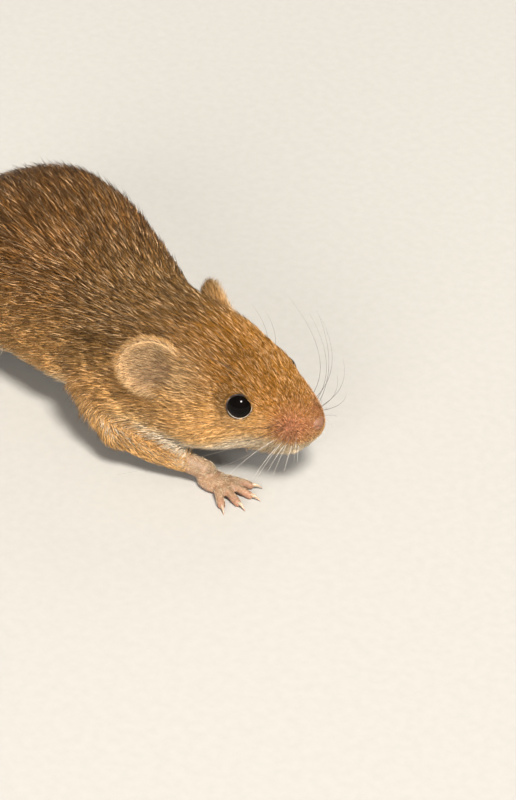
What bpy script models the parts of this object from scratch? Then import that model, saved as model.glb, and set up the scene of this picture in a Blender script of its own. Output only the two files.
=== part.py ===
# A harvest mouse at life size, standing low on four feet with its head turned to its left.
# X runs forward along the trunk, Y to the mouse's left and Z up, and the floor is Z = 0.
# Every size is in millimetres, and the finished meshes are scaled to metres at the end.
import math

import bmesh
import bpy
from mathutils import Matrix, Vector

MM = 0.001
GAP = 0.3  # between neighbouring nodes
EYE_GAP = 0.2  # between an eyeball and its lids

# Places on the body are given as (distance behind the nose along the spine, distance to the
# mouse's left of the spine, height above the floor), and at() turns them into X, Y, Z.
HEAD_TURN = 20.0  # degrees to the left
HEAD_END = 16.0  # the spine starts to straighten here, behind the nose
NECK_END = 28.0  # and runs along X from here
RUMP_TURN = 12.0  # degrees that the rump swings to the left
BODY_LENGTH = 61.0
SPINE_STEP = 0.5

# Columns: behind the nose, half width, underside, top, share of the height at the widest place.
BODY_STATIONS = (
    (0.0, 0.85, 8.60, 10.20, 0.50),
    (0.6, 1.65, 7.60, 11.00, 0.46),
    (1.8, 2.45, 6.85, 12.00, 0.42),
    (3.2, 3.05, 6.45, 12.95, 0.42),
    (5.0, 3.85, 5.95, 14.10, 0.43),
    (7.0, 4.45, 4.80, 15.20, 0.46),
    (9.0, 5.30, 4.05, 16.10, 0.45),
    (11.5, 6.30, 3.55, 16.90, 0.43),
    (14.5, 7.05, 3.25, 17.50, 0.42),
    (18.0, 7.50, 3.15, 17.85, 0.42),
    (22.0, 8.10, 2.90, 18.20, 0.43),
    (27.0, 9.00, 2.50, 19.00, 0.44),
    (33.0, 10.20, 2.10, 20.30, 0.43),
    (40.0, 11.20, 1.50, 21.30, 0.42),
    (46.0, 11.30, 1.40, 20.80, 0.42),
    (51.0, 10.30, 1.80, 18.80, 0.42),
    (55.5, 8.20, 2.60, 15.40, 0.44),
    (59.0, 5.20, 3.80, 11.20, 0.47),
    (61.0, 1.80, 5.30, 7.80, 0.50),
)
RING_POINTS = 36
SECTION_POWER = 2.35  # 2 is an ellipse, and more is fuller at the corners
HEAD_CUT = 18.3
NECK_CUT = 23.6

# Soft swellings of the surface: behind the nose, out to each side, height, reach, rise.
SWELLINGS = (
    (2.5, 2.20, 7.70, 1.6, 0.62),  # whisker pads
    (1.0, 1.30, 7.60, 1.1, 0.40),  # upper lip in front of them
    (12.0, 5.80, 6.60, 3.4, 0.70),  # cheeks
    (7.6, 3.60, 13.80, 1.5, 0.25),  # brow over each eye
    (5.4, 3.60, 10.80, 1.2, -0.15),  # hollow between pad and eye
)

EYE = (7.6, 3.90, 11.40)
EYE_RADIUS = 1.55
EYE_AXIS = (0.46, 0.84, 0.28)  # forward, out and up
LID_OUT = 0.72  # from the eye's centre to the plane of the lids
LID_RADIUS = 1.70
LID_THICKNESS = 0.36

NOSE_PAD = (0.75, 0.0, 9.62)
NOSE_PAD_SIZE = (0.85, 1.05, 0.82)
NOSTRIL = (0.02, 0.56, 9.50)
NOSTRIL_SIZE = (0.55, 0.27, 0.21)
PHILTRUM_WIDTH = 0.24

JAW_POINTS = ((3.0, 0, 5.45), (4.6, 0, 5.25), (7.5, 0, 5.30), (12.0, 0, 6.5))
JAW_RADII = (0.66, 1.20, 2.00, 3.0)
MOUTH_LINE = ((-1.0, 6.90), (0.9, 6.75), (2.2, 6.25), (3.8, 6.10), (5.2, 6.15), (6.3, 6.45))
MOUTH_WIDTH = 0.28

EAR_BASE = (15.0, 5.50, 13.1)
EAR_UP = (-0.86, 0.44, 0.26)  # forward, out and up, from the root to the tip
EAR_FACING = (0.46, 0.86, 0.22)
EAR_WIDTH = 3.1
EAR_DEPTH = 1.75
EAR_HEIGHT = 3.4
EAR_WALL = 0.62
EAR_RAISE = 2.5

# Each leg: shoulder, elbow and wrist, or hip, knee and heel, with radii that hold its coat.
FORELEGS = {
    "right": ((25.0, -6.7, 8.6), (20.4, -8.3, 4.7), (12.6, -5.3, 2.15)),
    "left": ((26.5, 6.7, 8.6), (25.0, 8.5, 4.7), (17.6, 5.7, 2.15)),
}
UPPER_ARM_RADII = (3.3, 2.3)
FOREARM_RADII = (2.45, 1.12)
FOREPAW_TURN = {"right": -4.0, "left": 8.0}
PALM = (2.2, 1.45, 0.95)
FOREPAW_TOES = ((-40.0, 2.4), (-14.0, 3.0), (10.0, 3.1), (34.0, 2.4))
HINDLEGS = {
    "right": ((49.0, -7.6, 9.6), (40.6, -10.2, 6.8), (50.2, -11.9, 2.7)),
    "left": ((50.0, 7.6, 9.6), (42.1, 10.2, 6.8), (51.6, 11.9, 2.7)),
}
THIGH_RADII = (5.2, 3.5)
SHANK_RADII = (3.3, 1.3)
HINDFOOT_TURN = {"right": -10.0, "left": 12.0}
SOLE_LENGTH = 7.6
SOLE_HEIGHT = 0.8
SOLE_RADII = (1.12, 1.38)
HINDFOOT_TOES = ((-34.0, 2.6), (-14.0, 3.9), (0.0, 4.3), (14.0, 3.9), (36.0, 2.5))
TOE_RADIUS = 0.46
CLAW_RADIUS = 0.27

# The tail: distance along it, then turn in degrees, height of its middle and radius.
TAIL_LENGTH = 58.0
TAIL_START = (58.0, 0.0, 6.2)
TAIL_TURNS = ((0.0, 0.0), (12.0, -8.0), (24.0, 4.0), (42.0, 62.0), (58.0, 108.0))
TAIL_HEIGHTS = ((0.0, 6.4), (3.0, 5.2), (7.5, 2.3), (11.0, 1.12), (58.0, 0.30))
TAIL_RADII = ((0.0, 1.55), (6.0, 1.35), (30.0, 0.92), (52.0, 0.50), (58.0, 0.28))
TAIL_LENGTHS = 4
TAIL_SIDES = 12


# Curves through named points

def through(points, x):
    """The value at x of a smooth curve through (x, value) points, without overshoot."""
    if x <= points[0][0]:
        return points[0][1]
    if x >= points[-1][0]:
        return points[-1][1]
    i = max(k for k in range(len(points) - 1) if points[k][0] <= x)
    slopes = [(b[1] - a[1]) / (b[0] - a[0]) for a, b in zip(points, points[1:])]

    def slope_at(k):
        if k in (0, len(points) - 1):
            return slopes[0] if k == 0 else slopes[-1]
        before, after = slopes[k - 1], slopes[k]
        return 0.0 if before * after <= 0 else 2 * before * after / (before + after)

    (x0, y0), (x1, y1) = points[i], points[i + 1]
    width = x1 - x0
    t = (x - x0) / width
    a = 2 * t**3 - 3 * t**2 + 1
    b = t**3 - 2 * t**2 + t
    c = 3 * t**2 - 2 * t**3
    d = t**3 - t**2
    return a * y0 + b * width * slope_at(i) + c * y1 + d * width * slope_at(i + 1)


def heading(s):
    """Which way the spine points at s, in degrees to the left of X."""
    return through(((0, HEAD_TURN), (HEAD_END, HEAD_TURN), (NECK_END, 0), (32, 0), (61, -RUMP_TURN)), s)


def spine_points():
    """The spine's places every SPINE_STEP from the nose, with NECK_END at X = 0, Y = 0."""
    count = int(BODY_LENGTH / SPINE_STEP) + 20
    places = [Vector((0, 0))]
    for i in range(count):
        turn = math.radians(heading((i + 0.5) * SPINE_STEP))
        places.append(places[-1] - SPINE_STEP * Vector((math.cos(turn), math.sin(turn))))
    origin = places[int(NECK_END / SPINE_STEP)].copy()
    return [p - origin for p in places]


SPINE = spine_points()


def spine_frame(s):
    """The spine's place on the floor plan at s, with its forward and left directions."""
    turn = math.radians(heading(s))
    forward = Vector((math.cos(turn), math.sin(turn), 0))
    left = Vector((-forward.y, forward.x, 0))
    i = min(max(int(s / SPINE_STEP), 0), len(SPINE) - 2)
    share = s / SPINE_STEP - i
    plan = SPINE[i].lerp(SPINE[i + 1], share)
    return Vector((plan.x, plan.y, 0)), forward, left


def at(s, out, z):
    place, _, left = spine_frame(s)
    return place + left * out + Vector((0, 0, z))


def along(s, vector, side):
    """A (forward, out, up) direction at s on that side of the body, in X, Y, Z."""
    _, forward, left = spine_frame(s)
    return (forward * vector[0] + left * side * vector[1] + Vector((0, 0, vector[2]))).normalized()


# Meshes

def mesh_object(name, bm):
    bmesh.ops.recalc_face_normals(bm, faces=bm.faces[:])
    mesh = bpy.data.meshes.new(name)
    bm.to_mesh(mesh)
    bm.free()
    obj = bpy.data.objects.new(name, mesh)
    bpy.context.scene.collection.objects.link(obj)
    return obj


def skin_rings(name, rings, start_pole=None, end_pole=None):
    """A closed body through rings of points, ending in a pole or in a flat cap."""
    bm = bmesh.new()
    made = [[bm.verts.new(p) for p in ring] for ring in rings]
    count = len(made[0])
    for a, b in zip(made, made[1:]):
        for i in range(count):
            j = (i + 1) % count
            bm.faces.new((a[i], a[j], b[j], b[i]))
    for ring, pole in ((made[0], start_pole), (made[-1], end_pole)):
        if pole is None:
            bm.faces.new(ring)
            continue
        tip = bm.verts.new(pole)
        for i in range(count):
            bm.faces.new((ring[i], ring[(i + 1) % count], tip))
    return mesh_object(name, bm)


def smooth_path(points, radii, steps):
    """Points and radii along a smooth curve through the given ones."""
    found = []
    last = len(points) - 1
    for i in range(last):
        a, b, c, d = (points[min(max(k, 0), last)] for k in (i - 1, i, i + 1, i + 2))
        for n in range(steps):
            t = n / steps
            place = 0.5 * (
                2 * b + (c - a) * t + (2 * a - 5 * b + 4 * c - d) * t**2 + (3 * b - a - 3 * c + d) * t**3
            )
            ease = t * t * (3 - 2 * t)
            found.append((place, radii[i] * (1 - ease) + radii[i + 1] * ease))
    found.append((points[-1].copy(), radii[-1]))
    return found


def tube(name, points, radii, sides=12, steps=3, flat=1.0, grow=0.0, cut_start=False, cut_end=False):
    """A body along a smooth path, with round or cut ends."""
    path = smooth_path(points, radii, steps)
    places = [p for p, _ in path]
    tangents = [
        (places[min(i + 1, len(places) - 1)] - places[max(i - 1, 0)]).normalized() for i in range(len(places))
    ]
    rings = []

    def ring(place, tangent, radius):
        side = tangent.cross(Vector((0, 0, 1)))
        side = side.normalized() if side.length > 1e-3 else Vector((0, 1, 0))
        up = side.cross(tangent).normalized()
        turns = [2 * math.pi * i / sides for i in range(sides)]
        rings.append(
            [place + side * radius * math.cos(t) + up * radius * flat * math.sin(t) for t in turns]
        )

    radius = path[0][1] + grow
    pole_start = None
    if not cut_start:
        pole_start = places[0] - tangents[0] * radius
        ring(places[0] - tangents[0] * radius * 0.78, tangents[0], radius * 0.62)
    for (place, r), tangent in zip(path, tangents):
        ring(place, tangent, r + grow)
    radius = path[-1][1] + grow
    pole_end = None
    if not cut_end:
        pole_end = places[-1] + tangents[-1] * radius
        ring(places[-1] + tangents[-1] * radius * 0.78, tangents[-1], radius * 0.62)
    return skin_rings(name, rings, pole_start, pole_end)


def ellipsoid(name, centre, size, axes, segments=20, rings=12):
    """A ball stretched to size along three axes."""
    bm = bmesh.new()
    bmesh.ops.create_uvsphere(bm, u_segments=segments, v_segments=rings, radius=1.0)
    turn = Matrix([list(a) for a in axes]).transposed().to_4x4()
    stretch = Matrix.Diagonal((*size, 1.0))
    bmesh.ops.transform(bm, matrix=Matrix.Translation(centre) @ turn @ stretch, verts=bm.verts[:])
    return mesh_object(name, bm)


def frame_on(normal):
    """Three axes, the last along normal."""
    side = Vector((0, 0, 1)).cross(normal).normalized()
    return side, normal.cross(side).normalized(), normal


def join(name, pieces):
    """One closed body from overlapping ones."""
    return boolean(name, pieces[0], pieces[1:], "UNION")


def cut(obj, cutters):
    return boolean(obj.name, obj, cutters, "DIFFERENCE")


def boolean(name, target, others, operation):
    """Applies one Boolean with a collection of objects, and removes them."""
    if not others:
        return target
    group = bpy.data.collections.new("tools")
    for other in others:
        group.objects.link(other)
    modifier = target.modifiers.new("join", "BOOLEAN")
    modifier.operation = operation
    modifier.solver = "EXACT"
    modifier.operand_type = "COLLECTION"
    modifier.collection = group
    graph = bpy.context.evaluated_depsgraph_get()
    mesh = bpy.data.meshes.new_from_object(target.evaluated_get(graph))
    target.modifiers.clear()
    target.data = mesh
    target.name = name
    for other in others:
        bpy.data.objects.remove(other)
    bpy.data.collections.remove(group)
    keep_largest(target)
    return target


def keep_largest(obj):
    """Removes loose scraps and sealed hollows, and merges doubled points."""
    bm = bmesh.new()
    bm.from_mesh(obj.data)
    bmesh.ops.remove_doubles(bm, verts=bm.verts[:], dist=0.002)
    bmesh.ops.triangulate(bm, faces=bm.faces[:])
    unseen = set(bm.faces)
    shells = []
    while unseen:
        seed = unseen.pop()
        shell = [seed]
        waiting = [seed]
        while waiting:
            for edge in waiting.pop().edges:
                for face in edge.link_faces:
                    if face in unseen:
                        unseen.remove(face)
                        shell.append(face)
                        waiting.append(face)
        shells.append(shell)
    shells.sort(key=len, reverse=True)
    loose = [face for shell in shells[1:] for face in shell]
    bmesh.ops.delete(bm, geom=loose, context="FACES")
    bm.to_mesh(obj.data)
    bm.free()


def floor_block():
    """Everything under the floor, to cut the flats that the feet and the tail rest on."""
    bm = bmesh.new()
    bmesh.ops.create_cube(bm, size=1.0)
    place = Matrix.Translation((0, 0, -5)) @ Matrix.Diagonal((400, 400, 10, 1))
    bmesh.ops.transform(bm, matrix=place, verts=bm.verts[:])
    return mesh_object("floor", bm)


# Body

def body_ring(s, grow=0.0):
    """The body's outline in the plane across the spine at s."""
    columns = list(zip(*BODY_STATIONS))
    width, under, top, share = (through(list(zip(columns[0], columns[k])), s) for k in range(1, 5))
    middle = under + share * (top - under)
    ring = []
    for i in range(RING_POINTS):
        turn = 2 * math.pi * (i + 0.5) / RING_POINTS
        c, n = math.cos(turn), math.sin(turn)
        across = math.copysign(abs(c) ** (2 / SECTION_POWER), c) * (width + grow)
        reach = (top - middle if n > 0 else middle - under) + grow
        rise = math.copysign(abs(n) ** (2 / SECTION_POWER), n) * reach
        ring.append(swollen(at(s, across, middle + rise), at(s, 0, middle)))
    return ring


def swollen(point, centre):
    """The point moved out from centre by the swellings near it."""
    out = (point - centre).normalized()
    for s, side_out, z, reach, rise in SWELLINGS:
        for side in (-1, 1):
            distance = (point - at(s, side * side_out, z)).length
            point = point + out * rise * math.exp(-((distance / reach) ** 2))
    return point


def body_length(name, start, end, step, grow=0.0):
    """A length of the body, closed by a pole at the nose or rump and by flat caps elsewhere."""
    count = max(2, round((end - start) / step))
    places = [start + (end - start) * i / count for i in range(count + 1)]
    nose = start == 0.0
    if nose:
        places = [0.0, 0.3] + [p for p in places if p > 0.5]
    rings = [body_ring(s, grow) for s in places]
    start_pole = at(-0.25 - grow, 0, 9.6) if nose else None
    end_pole = at(end + 0.5 + grow, 0, 6.5) if end == BODY_LENGTH else None
    return skin_rings(name, rings, start_pole, end_pole)


# Head

def eye_parts(side):
    """The eyeball, the socket that leaves a gap round it, and the raised ring of lids."""
    s, out, z = EYE
    centre = at(s, side * out, z)
    axis = along(s, EYE_AXIS, side)
    axes = frame_on(axis)
    name = "eye_right" if side < 0 else "eye_left"
    eyeball = ellipsoid(name, centre, [EYE_RADIUS] * 3, axes, 18, 12)
    socket = ellipsoid("socket", centre, [EYE_RADIUS + EYE_GAP] * 3, axes, 20, 14)
    bm = bmesh.new()
    profile = [
        bm.verts.new((LID_RADIUS + LID_THICKNESS * math.cos(a), 0, LID_THICKNESS * math.sin(a)))
        for a in (2 * math.pi * i / 8 for i in range(8))
    ]
    edges = [bm.edges.new((profile[i], profile[(i + 1) % 8])) for i in range(8)]
    bmesh.ops.spin(
        bm, geom=profile + edges, cent=(0, 0, 0), axis=(0, 0, 1), angle=2 * math.pi, steps=20, use_merge=True
    )
    turn = Matrix([list(a) for a in axes]).transposed().to_4x4()
    place = Matrix.Translation(centre + axis * LID_OUT)
    bmesh.ops.transform(bm, matrix=place @ turn, verts=bm.verts[:])
    return eyeball, socket, mesh_object("lids", bm)


def mouth_cutter():
    """A thin curved sheet that parts the lips back to the corners of the mouth."""
    half = MOUTH_WIDTH / 2
    reach = 5.0
    corners = [(s, z + half) for s, z in MOUTH_LINE] + [(s, z - half) for s, z in reversed(MOUTH_LINE)]
    bm = bmesh.new()
    sides = [[bm.verts.new(at(s, side * reach, z)) for s, z in corners] for side in (-1, 1)]
    count = len(corners)
    for i in range(count):
        j = (i + 1) % count
        bm.faces.new((sides[0][i], sides[0][j], sides[1][j], sides[1][i]))
    for i in range(len(MOUTH_LINE) - 1):
        j = count - 1 - i
        for ring in sides:
            bm.faces.new((ring[i], ring[i + 1], ring[j - 1], ring[j]))
    return mesh_object("mouth", bm)


def nose_cutters():
    """The two nostrils and the groove from the nose down to the lips."""
    cutters = []
    for side in (-1, 1):
        s, out, z = NOSTRIL
        cutters.append(ellipsoid("nostril", at(s, side * out, z), NOSTRIL_SIZE, spine_axes(s, side * 20), 12, 8))
    bm = bmesh.new()
    bmesh.ops.create_cube(bm, size=1.0)
    forward, left, up = spine_axes(0.5)
    turn = Matrix([list(a) for a in (forward, left, up)]).transposed().to_4x4()
    stretch = Matrix.Diagonal((1.4, PHILTRUM_WIDTH, 1.5, 1.0))
    place = Matrix.Translation(at(0.15, 0, 8.55))
    bmesh.ops.transform(bm, matrix=place @ turn @ stretch, verts=bm.verts[:])
    cutters.append(mesh_object("philtrum", bm))
    return cutters


def spine_axes(s, turn=0.0):
    _, forward, left = spine_frame(s)
    spin = Matrix.Rotation(math.radians(turn), 3, "Z")
    return spin @ forward, spin @ left, Vector((0, 0, 1))


def make_head(leg_cutters):
    shell = body_length("head", 0.0, HEAD_CUT - GAP / 2, 0.9)
    jaw = tube("jaw", [at(*p) for p in JAW_POINTS], JAW_RADII, 16, 2)
    pad = ellipsoid("pad", at(*NOSE_PAD), NOSE_PAD_SIZE, spine_axes(0.5), 18, 12)
    eyes, sockets, lids = zip(*(eye_parts(side) for side in (-1, 1)))
    head = join("head", [shell, jaw, pad, *lids])
    cut(head, [*sockets, mouth_cutter(), *nose_cutters(), *leg_cutters])
    return head, eyes


def make_ear(side):
    """A round cup on the back corner of the head, cut to the head's surface."""
    s, out, z = EAR_BASE
    up = along(s, EAR_UP, side)
    facing = along(s, EAR_FACING, side)
    across = up.cross(facing).normalized()
    facing = across.cross(up).normalized()
    centre = at(s, side * out, z) + up * EAR_RAISE
    axes = (across, facing, up)
    outer = ellipsoid("outer", centre, (EAR_WIDTH, EAR_DEPTH, EAR_HEIGHT), axes, 22, 14)
    inner_size = (EAR_WIDTH - EAR_WALL, EAR_DEPTH, EAR_HEIGHT - EAR_WALL)
    inner = ellipsoid("inner", centre + facing * EAR_WALL * 1.35, inner_size, axes, 22, 14)
    head = body_length("head_surface", 8.0, 24.0, 1.2, GAP)
    cut(outer, [inner])
    cut(outer, [head])
    outer.name = "ear_right" if side < 0 else "ear_left"
    return outer


# Legs and feet

def toes(root, turn, fan, radius, rise, spread):
    """Toes that fan out from the front of a foot, each with its claw."""
    pieces = []
    middle = (len(fan) - 1) / 2
    for k, (angle, length) in enumerate(fan):
        facing = Matrix.Rotation(math.radians(turn + angle), 3, "Z") @ Vector((1, 0, 0))
        across = Matrix.Rotation(math.radians(turn + 90), 3, "Z") @ Vector((1, 0, 0))
        start = root + across * (k - middle) * spread - facing * 0.9
        heights = (rise, rise + 0.12, 0.58, 0.36)
        shares = (0.0, 0.45, 0.85, 1.0)
        reach = length + 0.9
        path = [Vector((start.x, start.y, h)) + facing * reach * t for h, t in zip(heights, shares)]
        pieces.append(tube("toe", path, (radius, radius, radius * 0.92, radius * 0.85), 8, 1))
        tip = path[-1] + facing * radius * 0.3
        claw = [
            tip + Vector((0, 0, 0.12)),
            tip + facing * 0.6 + Vector((0, 0, 0.22)),
            tip + facing * 1.15 + Vector((0, 0, -0.12)),
        ]
        pieces.append(tube("claw", claw, (CLAW_RADIUS, CLAW_RADIUS * 0.75, 0.06), 6, 1))
    return pieces


def facing_of(turn, s):
    return turn + heading(s)


def make_leg(name, joints, upper_radii, lower_radii, grow=0.0):
    """A leg of two tapered lengths, cut square at the wrist or heel."""
    root, bend, end = [at(*p) for p in joints]
    end = end - (end - bend).normalized() * GAP / 2
    upper = tube(name, [root, bend], upper_radii, 14, 2, grow=grow)
    lower = tube(name, [bend, end], lower_radii, 12, 3, grow=grow, cut_end=True)
    return join(name, [upper, lower])


def make_foreleg(side_name, grow=0.0):
    return make_leg("foreleg_" + side_name, FORELEGS[side_name], UPPER_ARM_RADII, FOREARM_RADII, grow)


def make_hindleg(side_name, grow=0.0):
    return make_leg("hindleg_" + side_name, HINDLEGS[side_name], THIGH_RADII, SHANK_RADII, grow)


def foot_start(joints, turn):
    """Where a foot leaves its leg, the leg's direction there and the way the foot points."""
    _, bend, end = [at(*p) for p in joints]
    step = (end - bend).normalized()
    facing = Matrix.Rotation(math.radians(facing_of(turn, joints[-1][0])), 3, "Z") @ Vector((1, 0, 0))
    return end + step * GAP / 2, step, facing


def make_forepaw(side_name):
    wrist, step, facing = foot_start(FORELEGS[side_name], FOREPAW_TURN[side_name])
    across = Vector((0, 0, 1)).cross(facing)
    inward = across if side_name == "right" else -across
    heel = wrist + step * 1.3
    stub = tube("stub", [wrist, heel], (1.15, 1.0), 12, 2, cut_start=True)
    middle = Vector((heel.x, heel.y, 0.78)) + facing * 1.0
    palm = ellipsoid("palm", middle, PALM, (facing, across, Vector((0, 0, 1))), 18, 12)
    thumb_root = middle + inward * 0.9 - Vector((0, 0, 0.2))
    thumb = tube("thumb", [thumb_root, thumb_root + inward * 0.75 + facing * 0.6], (0.5, 0.4), 8, 1)
    turn = facing_of(FOREPAW_TURN[side_name], FORELEGS[side_name][-1][0])
    fingers = toes(middle + facing * 1.2, turn, FOREPAW_TOES, TOE_RADIUS, 0.82, 0.62)
    return cut(join("forepaw_" + side_name, [palm, stub, thumb, *fingers]), [floor_block()])


def hindfoot_line(side_name):
    """The heel and the knuckles of a hind foot, and the end of the leg that it hangs from."""
    ankle, step, facing = foot_start(HINDLEGS[side_name], HINDFOOT_TURN[side_name])
    heel = ankle + step * 1.2
    sole = Vector((heel.x, heel.y, SOLE_HEIGHT))
    return ankle, heel, sole, sole + facing * SOLE_LENGTH


def make_sole(side_name, grow=0.0):
    _, _, sole, knuckles = hindfoot_line(side_name)
    return tube("sole", [sole, knuckles], SOLE_RADII, 14, 4, 0.76, grow)


def make_hindfoot(side_name):
    ankle, heel, _, knuckles = hindfoot_line(side_name)
    stub = tube("stub", [ankle, heel], (1.3, 1.15), 12, 2, cut_start=True)
    turn = facing_of(HINDFOOT_TURN[side_name], HINDLEGS[side_name][-1][0])
    fingers = toes(knuckles, turn, HINDFOOT_TOES, TOE_RADIUS, SOLE_HEIGHT, 0.6)
    return cut(join("hindfoot_" + side_name, [make_sole(side_name), stub, *fingers]), [floor_block()])


# Tail

def tail_point(d):
    """The tail's middle at distance d from its root, and its direction."""
    place = at(*TAIL_START)
    step = 0.5
    start = heading(TAIL_START[0]) + 180
    done = 0.0
    while done < d - 1e-9:
        length = min(step, d - done)
        turn = math.radians(start + through(TAIL_TURNS, done + length / 2))
        place = place + length * Vector((math.cos(turn), math.sin(turn), 0))
        done += length
    return Vector((place.x, place.y, through(TAIL_HEIGHTS, d)))


def tail_piece(name, start, end, grow=0.0):
    count = max(3, round((end - start) / 1.9))
    places = [start + (end - start) * i / count for i in range(count + 1)]
    last = end >= TAIL_LENGTH
    radii = [through(TAIL_RADII, d) for d in places]
    path = [tail_point(d) for d in places]
    return tube(name, path, radii, TAIL_SIDES, 1, grow=grow, cut_start=start > 0, cut_end=not last)


def make_tail():
    each = TAIL_LENGTH / TAIL_LENGTHS
    pieces = []
    for k in range(TAIL_LENGTHS):
        start = k * each + (GAP / 2 if k else 0)
        end = (k + 1) * each - (GAP / 2 if k < TAIL_LENGTHS - 1 else 0)
        pieces.append(cut(tail_piece(f"tail_{k + 1}", start, end), [floor_block()]))
    return pieces


# Finishing

def paint(obj, colour, roughness):
    """Gives the object its own material."""
    material = bpy.data.materials.new(obj.name + "_finish")
    material.use_nodes = True
    shader = material.node_tree.nodes["Principled BSDF"]
    shader.inputs["Base Color"].default_value = (*colour, 1.0)
    shader.inputs["Roughness"].default_value = roughness
    shader.inputs["Metallic"].default_value = 0.0
    obj.data.materials.clear()
    obj.data.materials.append(material)


FINISHES = {
    "coat": ((0.42, 0.22, 0.08), 0.9),
    "ear": ((0.36, 0.20, 0.12), 0.7),
    "foot": ((0.56, 0.36, 0.28), 0.6),
    "tail": ((0.30, 0.19, 0.13), 0.6),
    "eye": ((0.006, 0.005, 0.005), 0.05),
}


def finish_of(name):
    for part, finish in (("eye", "eye"), ("ear", "ear"), ("tail", "tail"), ("paw", "foot"), ("hindfoot", "foot")):
        if part in name:
            return finish
    return "coat"


def to_metres(nodes):
    """Scales to metres and centres the box over the origin, standing on the floor."""
    corners = [v.co for obj in nodes for v in obj.data.vertices]
    low = Vector(min(c[k] for c in corners) for k in range(3))
    high = Vector(max(c[k] for c in corners) for k in range(3))
    shift = Vector((-(low.x + high.x) / 2, -(low.y + high.y) / 2, -low.z))
    for obj in nodes:
        obj.data.transform(Matrix.Scale(MM, 4) @ Matrix.Translation(shift))
        obj.data.shade_smooth()
        obj.data.set_sharp_from_angle(angle=math.radians(50))


def main():
    for obj in list(bpy.data.objects):
        bpy.data.objects.remove(obj)
    legs, paws = [], []
    for side_name in ("right", "left"):
        legs.append(make_foreleg(side_name))
        legs.append(cut(make_hindleg(side_name), [make_sole(side_name, GAP)]))
        paws += [make_forepaw(side_name), make_hindfoot(side_name)]

    def leg_cutters(front, hind):
        found = []
        for side_name in ("right", "left"):
            if front:
                found.append(make_foreleg(side_name, GAP))
            if hind:
                found.append(make_hindleg(side_name, GAP))
        return found

    head, eyes = make_head(leg_cutters(True, False))
    ears = [make_ear(side) for side in (-1, 1)]
    neck = cut(
        body_length("neck", HEAD_CUT + GAP / 2, NECK_CUT - GAP / 2, 1.6), leg_cutters(True, False)
    )
    torso = body_length("torso", NECK_CUT + GAP / 2, BODY_LENGTH, 2.0)
    tail = make_tail()
    tail_socket = tail_piece("socket", 0.0, 6.0, GAP)
    cut(torso, [tail_socket, *leg_cutters(True, True)])
    nodes = [head, neck, torso, *ears, *eyes, *legs, *paws, *tail]
    for obj in nodes:
        paint(obj, *FINISHES[finish_of(obj.name)])
    to_metres(nodes)


main()
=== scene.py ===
# A harvest mouse at life size: skin, coat, whiskers, eyes, claws, floor, light and camera.
# Lengths are in metres. Distances along the body are counted in mm back from the nose.
import math

import bmesh
import bpy
import numpy as np
from mathutils import Matrix, Vector
from mathutils.bvhtree import BVHTree
from mathutils.kdtree import KDTree


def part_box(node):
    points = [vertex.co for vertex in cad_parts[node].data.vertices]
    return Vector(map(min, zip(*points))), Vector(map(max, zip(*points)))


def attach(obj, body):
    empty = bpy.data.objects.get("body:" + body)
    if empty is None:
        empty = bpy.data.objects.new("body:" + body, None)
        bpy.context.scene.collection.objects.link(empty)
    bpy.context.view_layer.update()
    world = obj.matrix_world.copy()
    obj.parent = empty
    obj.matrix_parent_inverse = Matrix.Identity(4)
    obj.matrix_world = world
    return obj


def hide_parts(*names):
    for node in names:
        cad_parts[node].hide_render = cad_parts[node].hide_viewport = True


mm = 0.001
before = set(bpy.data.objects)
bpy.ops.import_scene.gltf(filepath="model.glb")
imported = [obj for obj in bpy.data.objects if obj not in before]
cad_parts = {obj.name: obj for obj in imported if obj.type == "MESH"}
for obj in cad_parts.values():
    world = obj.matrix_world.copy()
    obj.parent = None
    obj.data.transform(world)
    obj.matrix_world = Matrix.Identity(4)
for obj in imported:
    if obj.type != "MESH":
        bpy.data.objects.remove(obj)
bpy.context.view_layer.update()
rng = np.random.default_rng(7)
scene = bpy.context.scene
sides = {"right": -1, "left": 1}  # which way each side lies from the middle


# Places on the body, worked out from the solids

def middleOf(node):
    low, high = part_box(node)
    return (low + high) / 2


def axesMatrix(x, y, z):  # turns a shape from the world's axes to these three
    return Matrix((x, y, z)).transposed().to_4x4()


def nearestOn(line, points, block=4000):  # which point of the line is the nearest to each of the points
    starts = range(0, len(points), block)
    return np.concatenate([((points[i:i + block, None] - line) ** 2).sum(-1).argmin(1) for i in starts])


eyeFromNose = 7.6  # mm along the spine
eyes = {side: middleOf("eye_" + side) for side in sides}
headLeft = (eyes["left"] - eyes["right"]).normalized()
headForward = Vector((headLeft.y, -headLeft.x, 0))
headMiddle = (eyes["left"] + eyes["right"]) / 2
noseRoot = Vector((headMiddle.x, headMiddle.y, 0)) + headForward * eyeFromNose * mm
headTurn = math.degrees(math.atan2(headForward.y, headForward.x))

spineTurns = ((0, headTurn), (16, headTurn), (28, 0), (32, 0), (61, -12))  # mm back, degrees to the left


def headingAt(back):
    for (a, first), (b, last) in zip(spineTurns, spineTurns[1:]):
        if back <= b:
            t = max(0.0, (back - a) / (b - a))
            return first + (last - first) * t * t * (3 - 2 * t)
    return spineTurns[-1][1]


def spineSamples(step=0.5, length=66):
    places, ways = [np.array(noseRoot[:2])], []
    for i in range(int(length / step)):
        turn = math.radians(headingAt((i + 0.5) * step))
        way = np.array((math.cos(turn), math.sin(turn)))
        ways.append(way)
        places.append(places[-1] - way * step * mm)
    ways.append(ways[-1])
    return np.arange(len(places)) * step, np.array(places), np.array(ways)


spineBack, spinePlaces, spineWays = spineSamples()


def onSpine(points):  # mm back from the nose, mm to the left, and the way forward there
    nearest = nearestOn(spinePlaces, points[:, :2])
    way = spineWays[nearest]
    offset = points[:, :2] - spinePlaces[nearest]
    back = spineBack[nearest] - (offset * way).sum(1) / mm
    out = (offset[:, 1] * way[:, 0] - offset[:, 0] * way[:, 1]) / mm
    return back, out, np.column_stack((way, np.zeros(len(way))))


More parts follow.
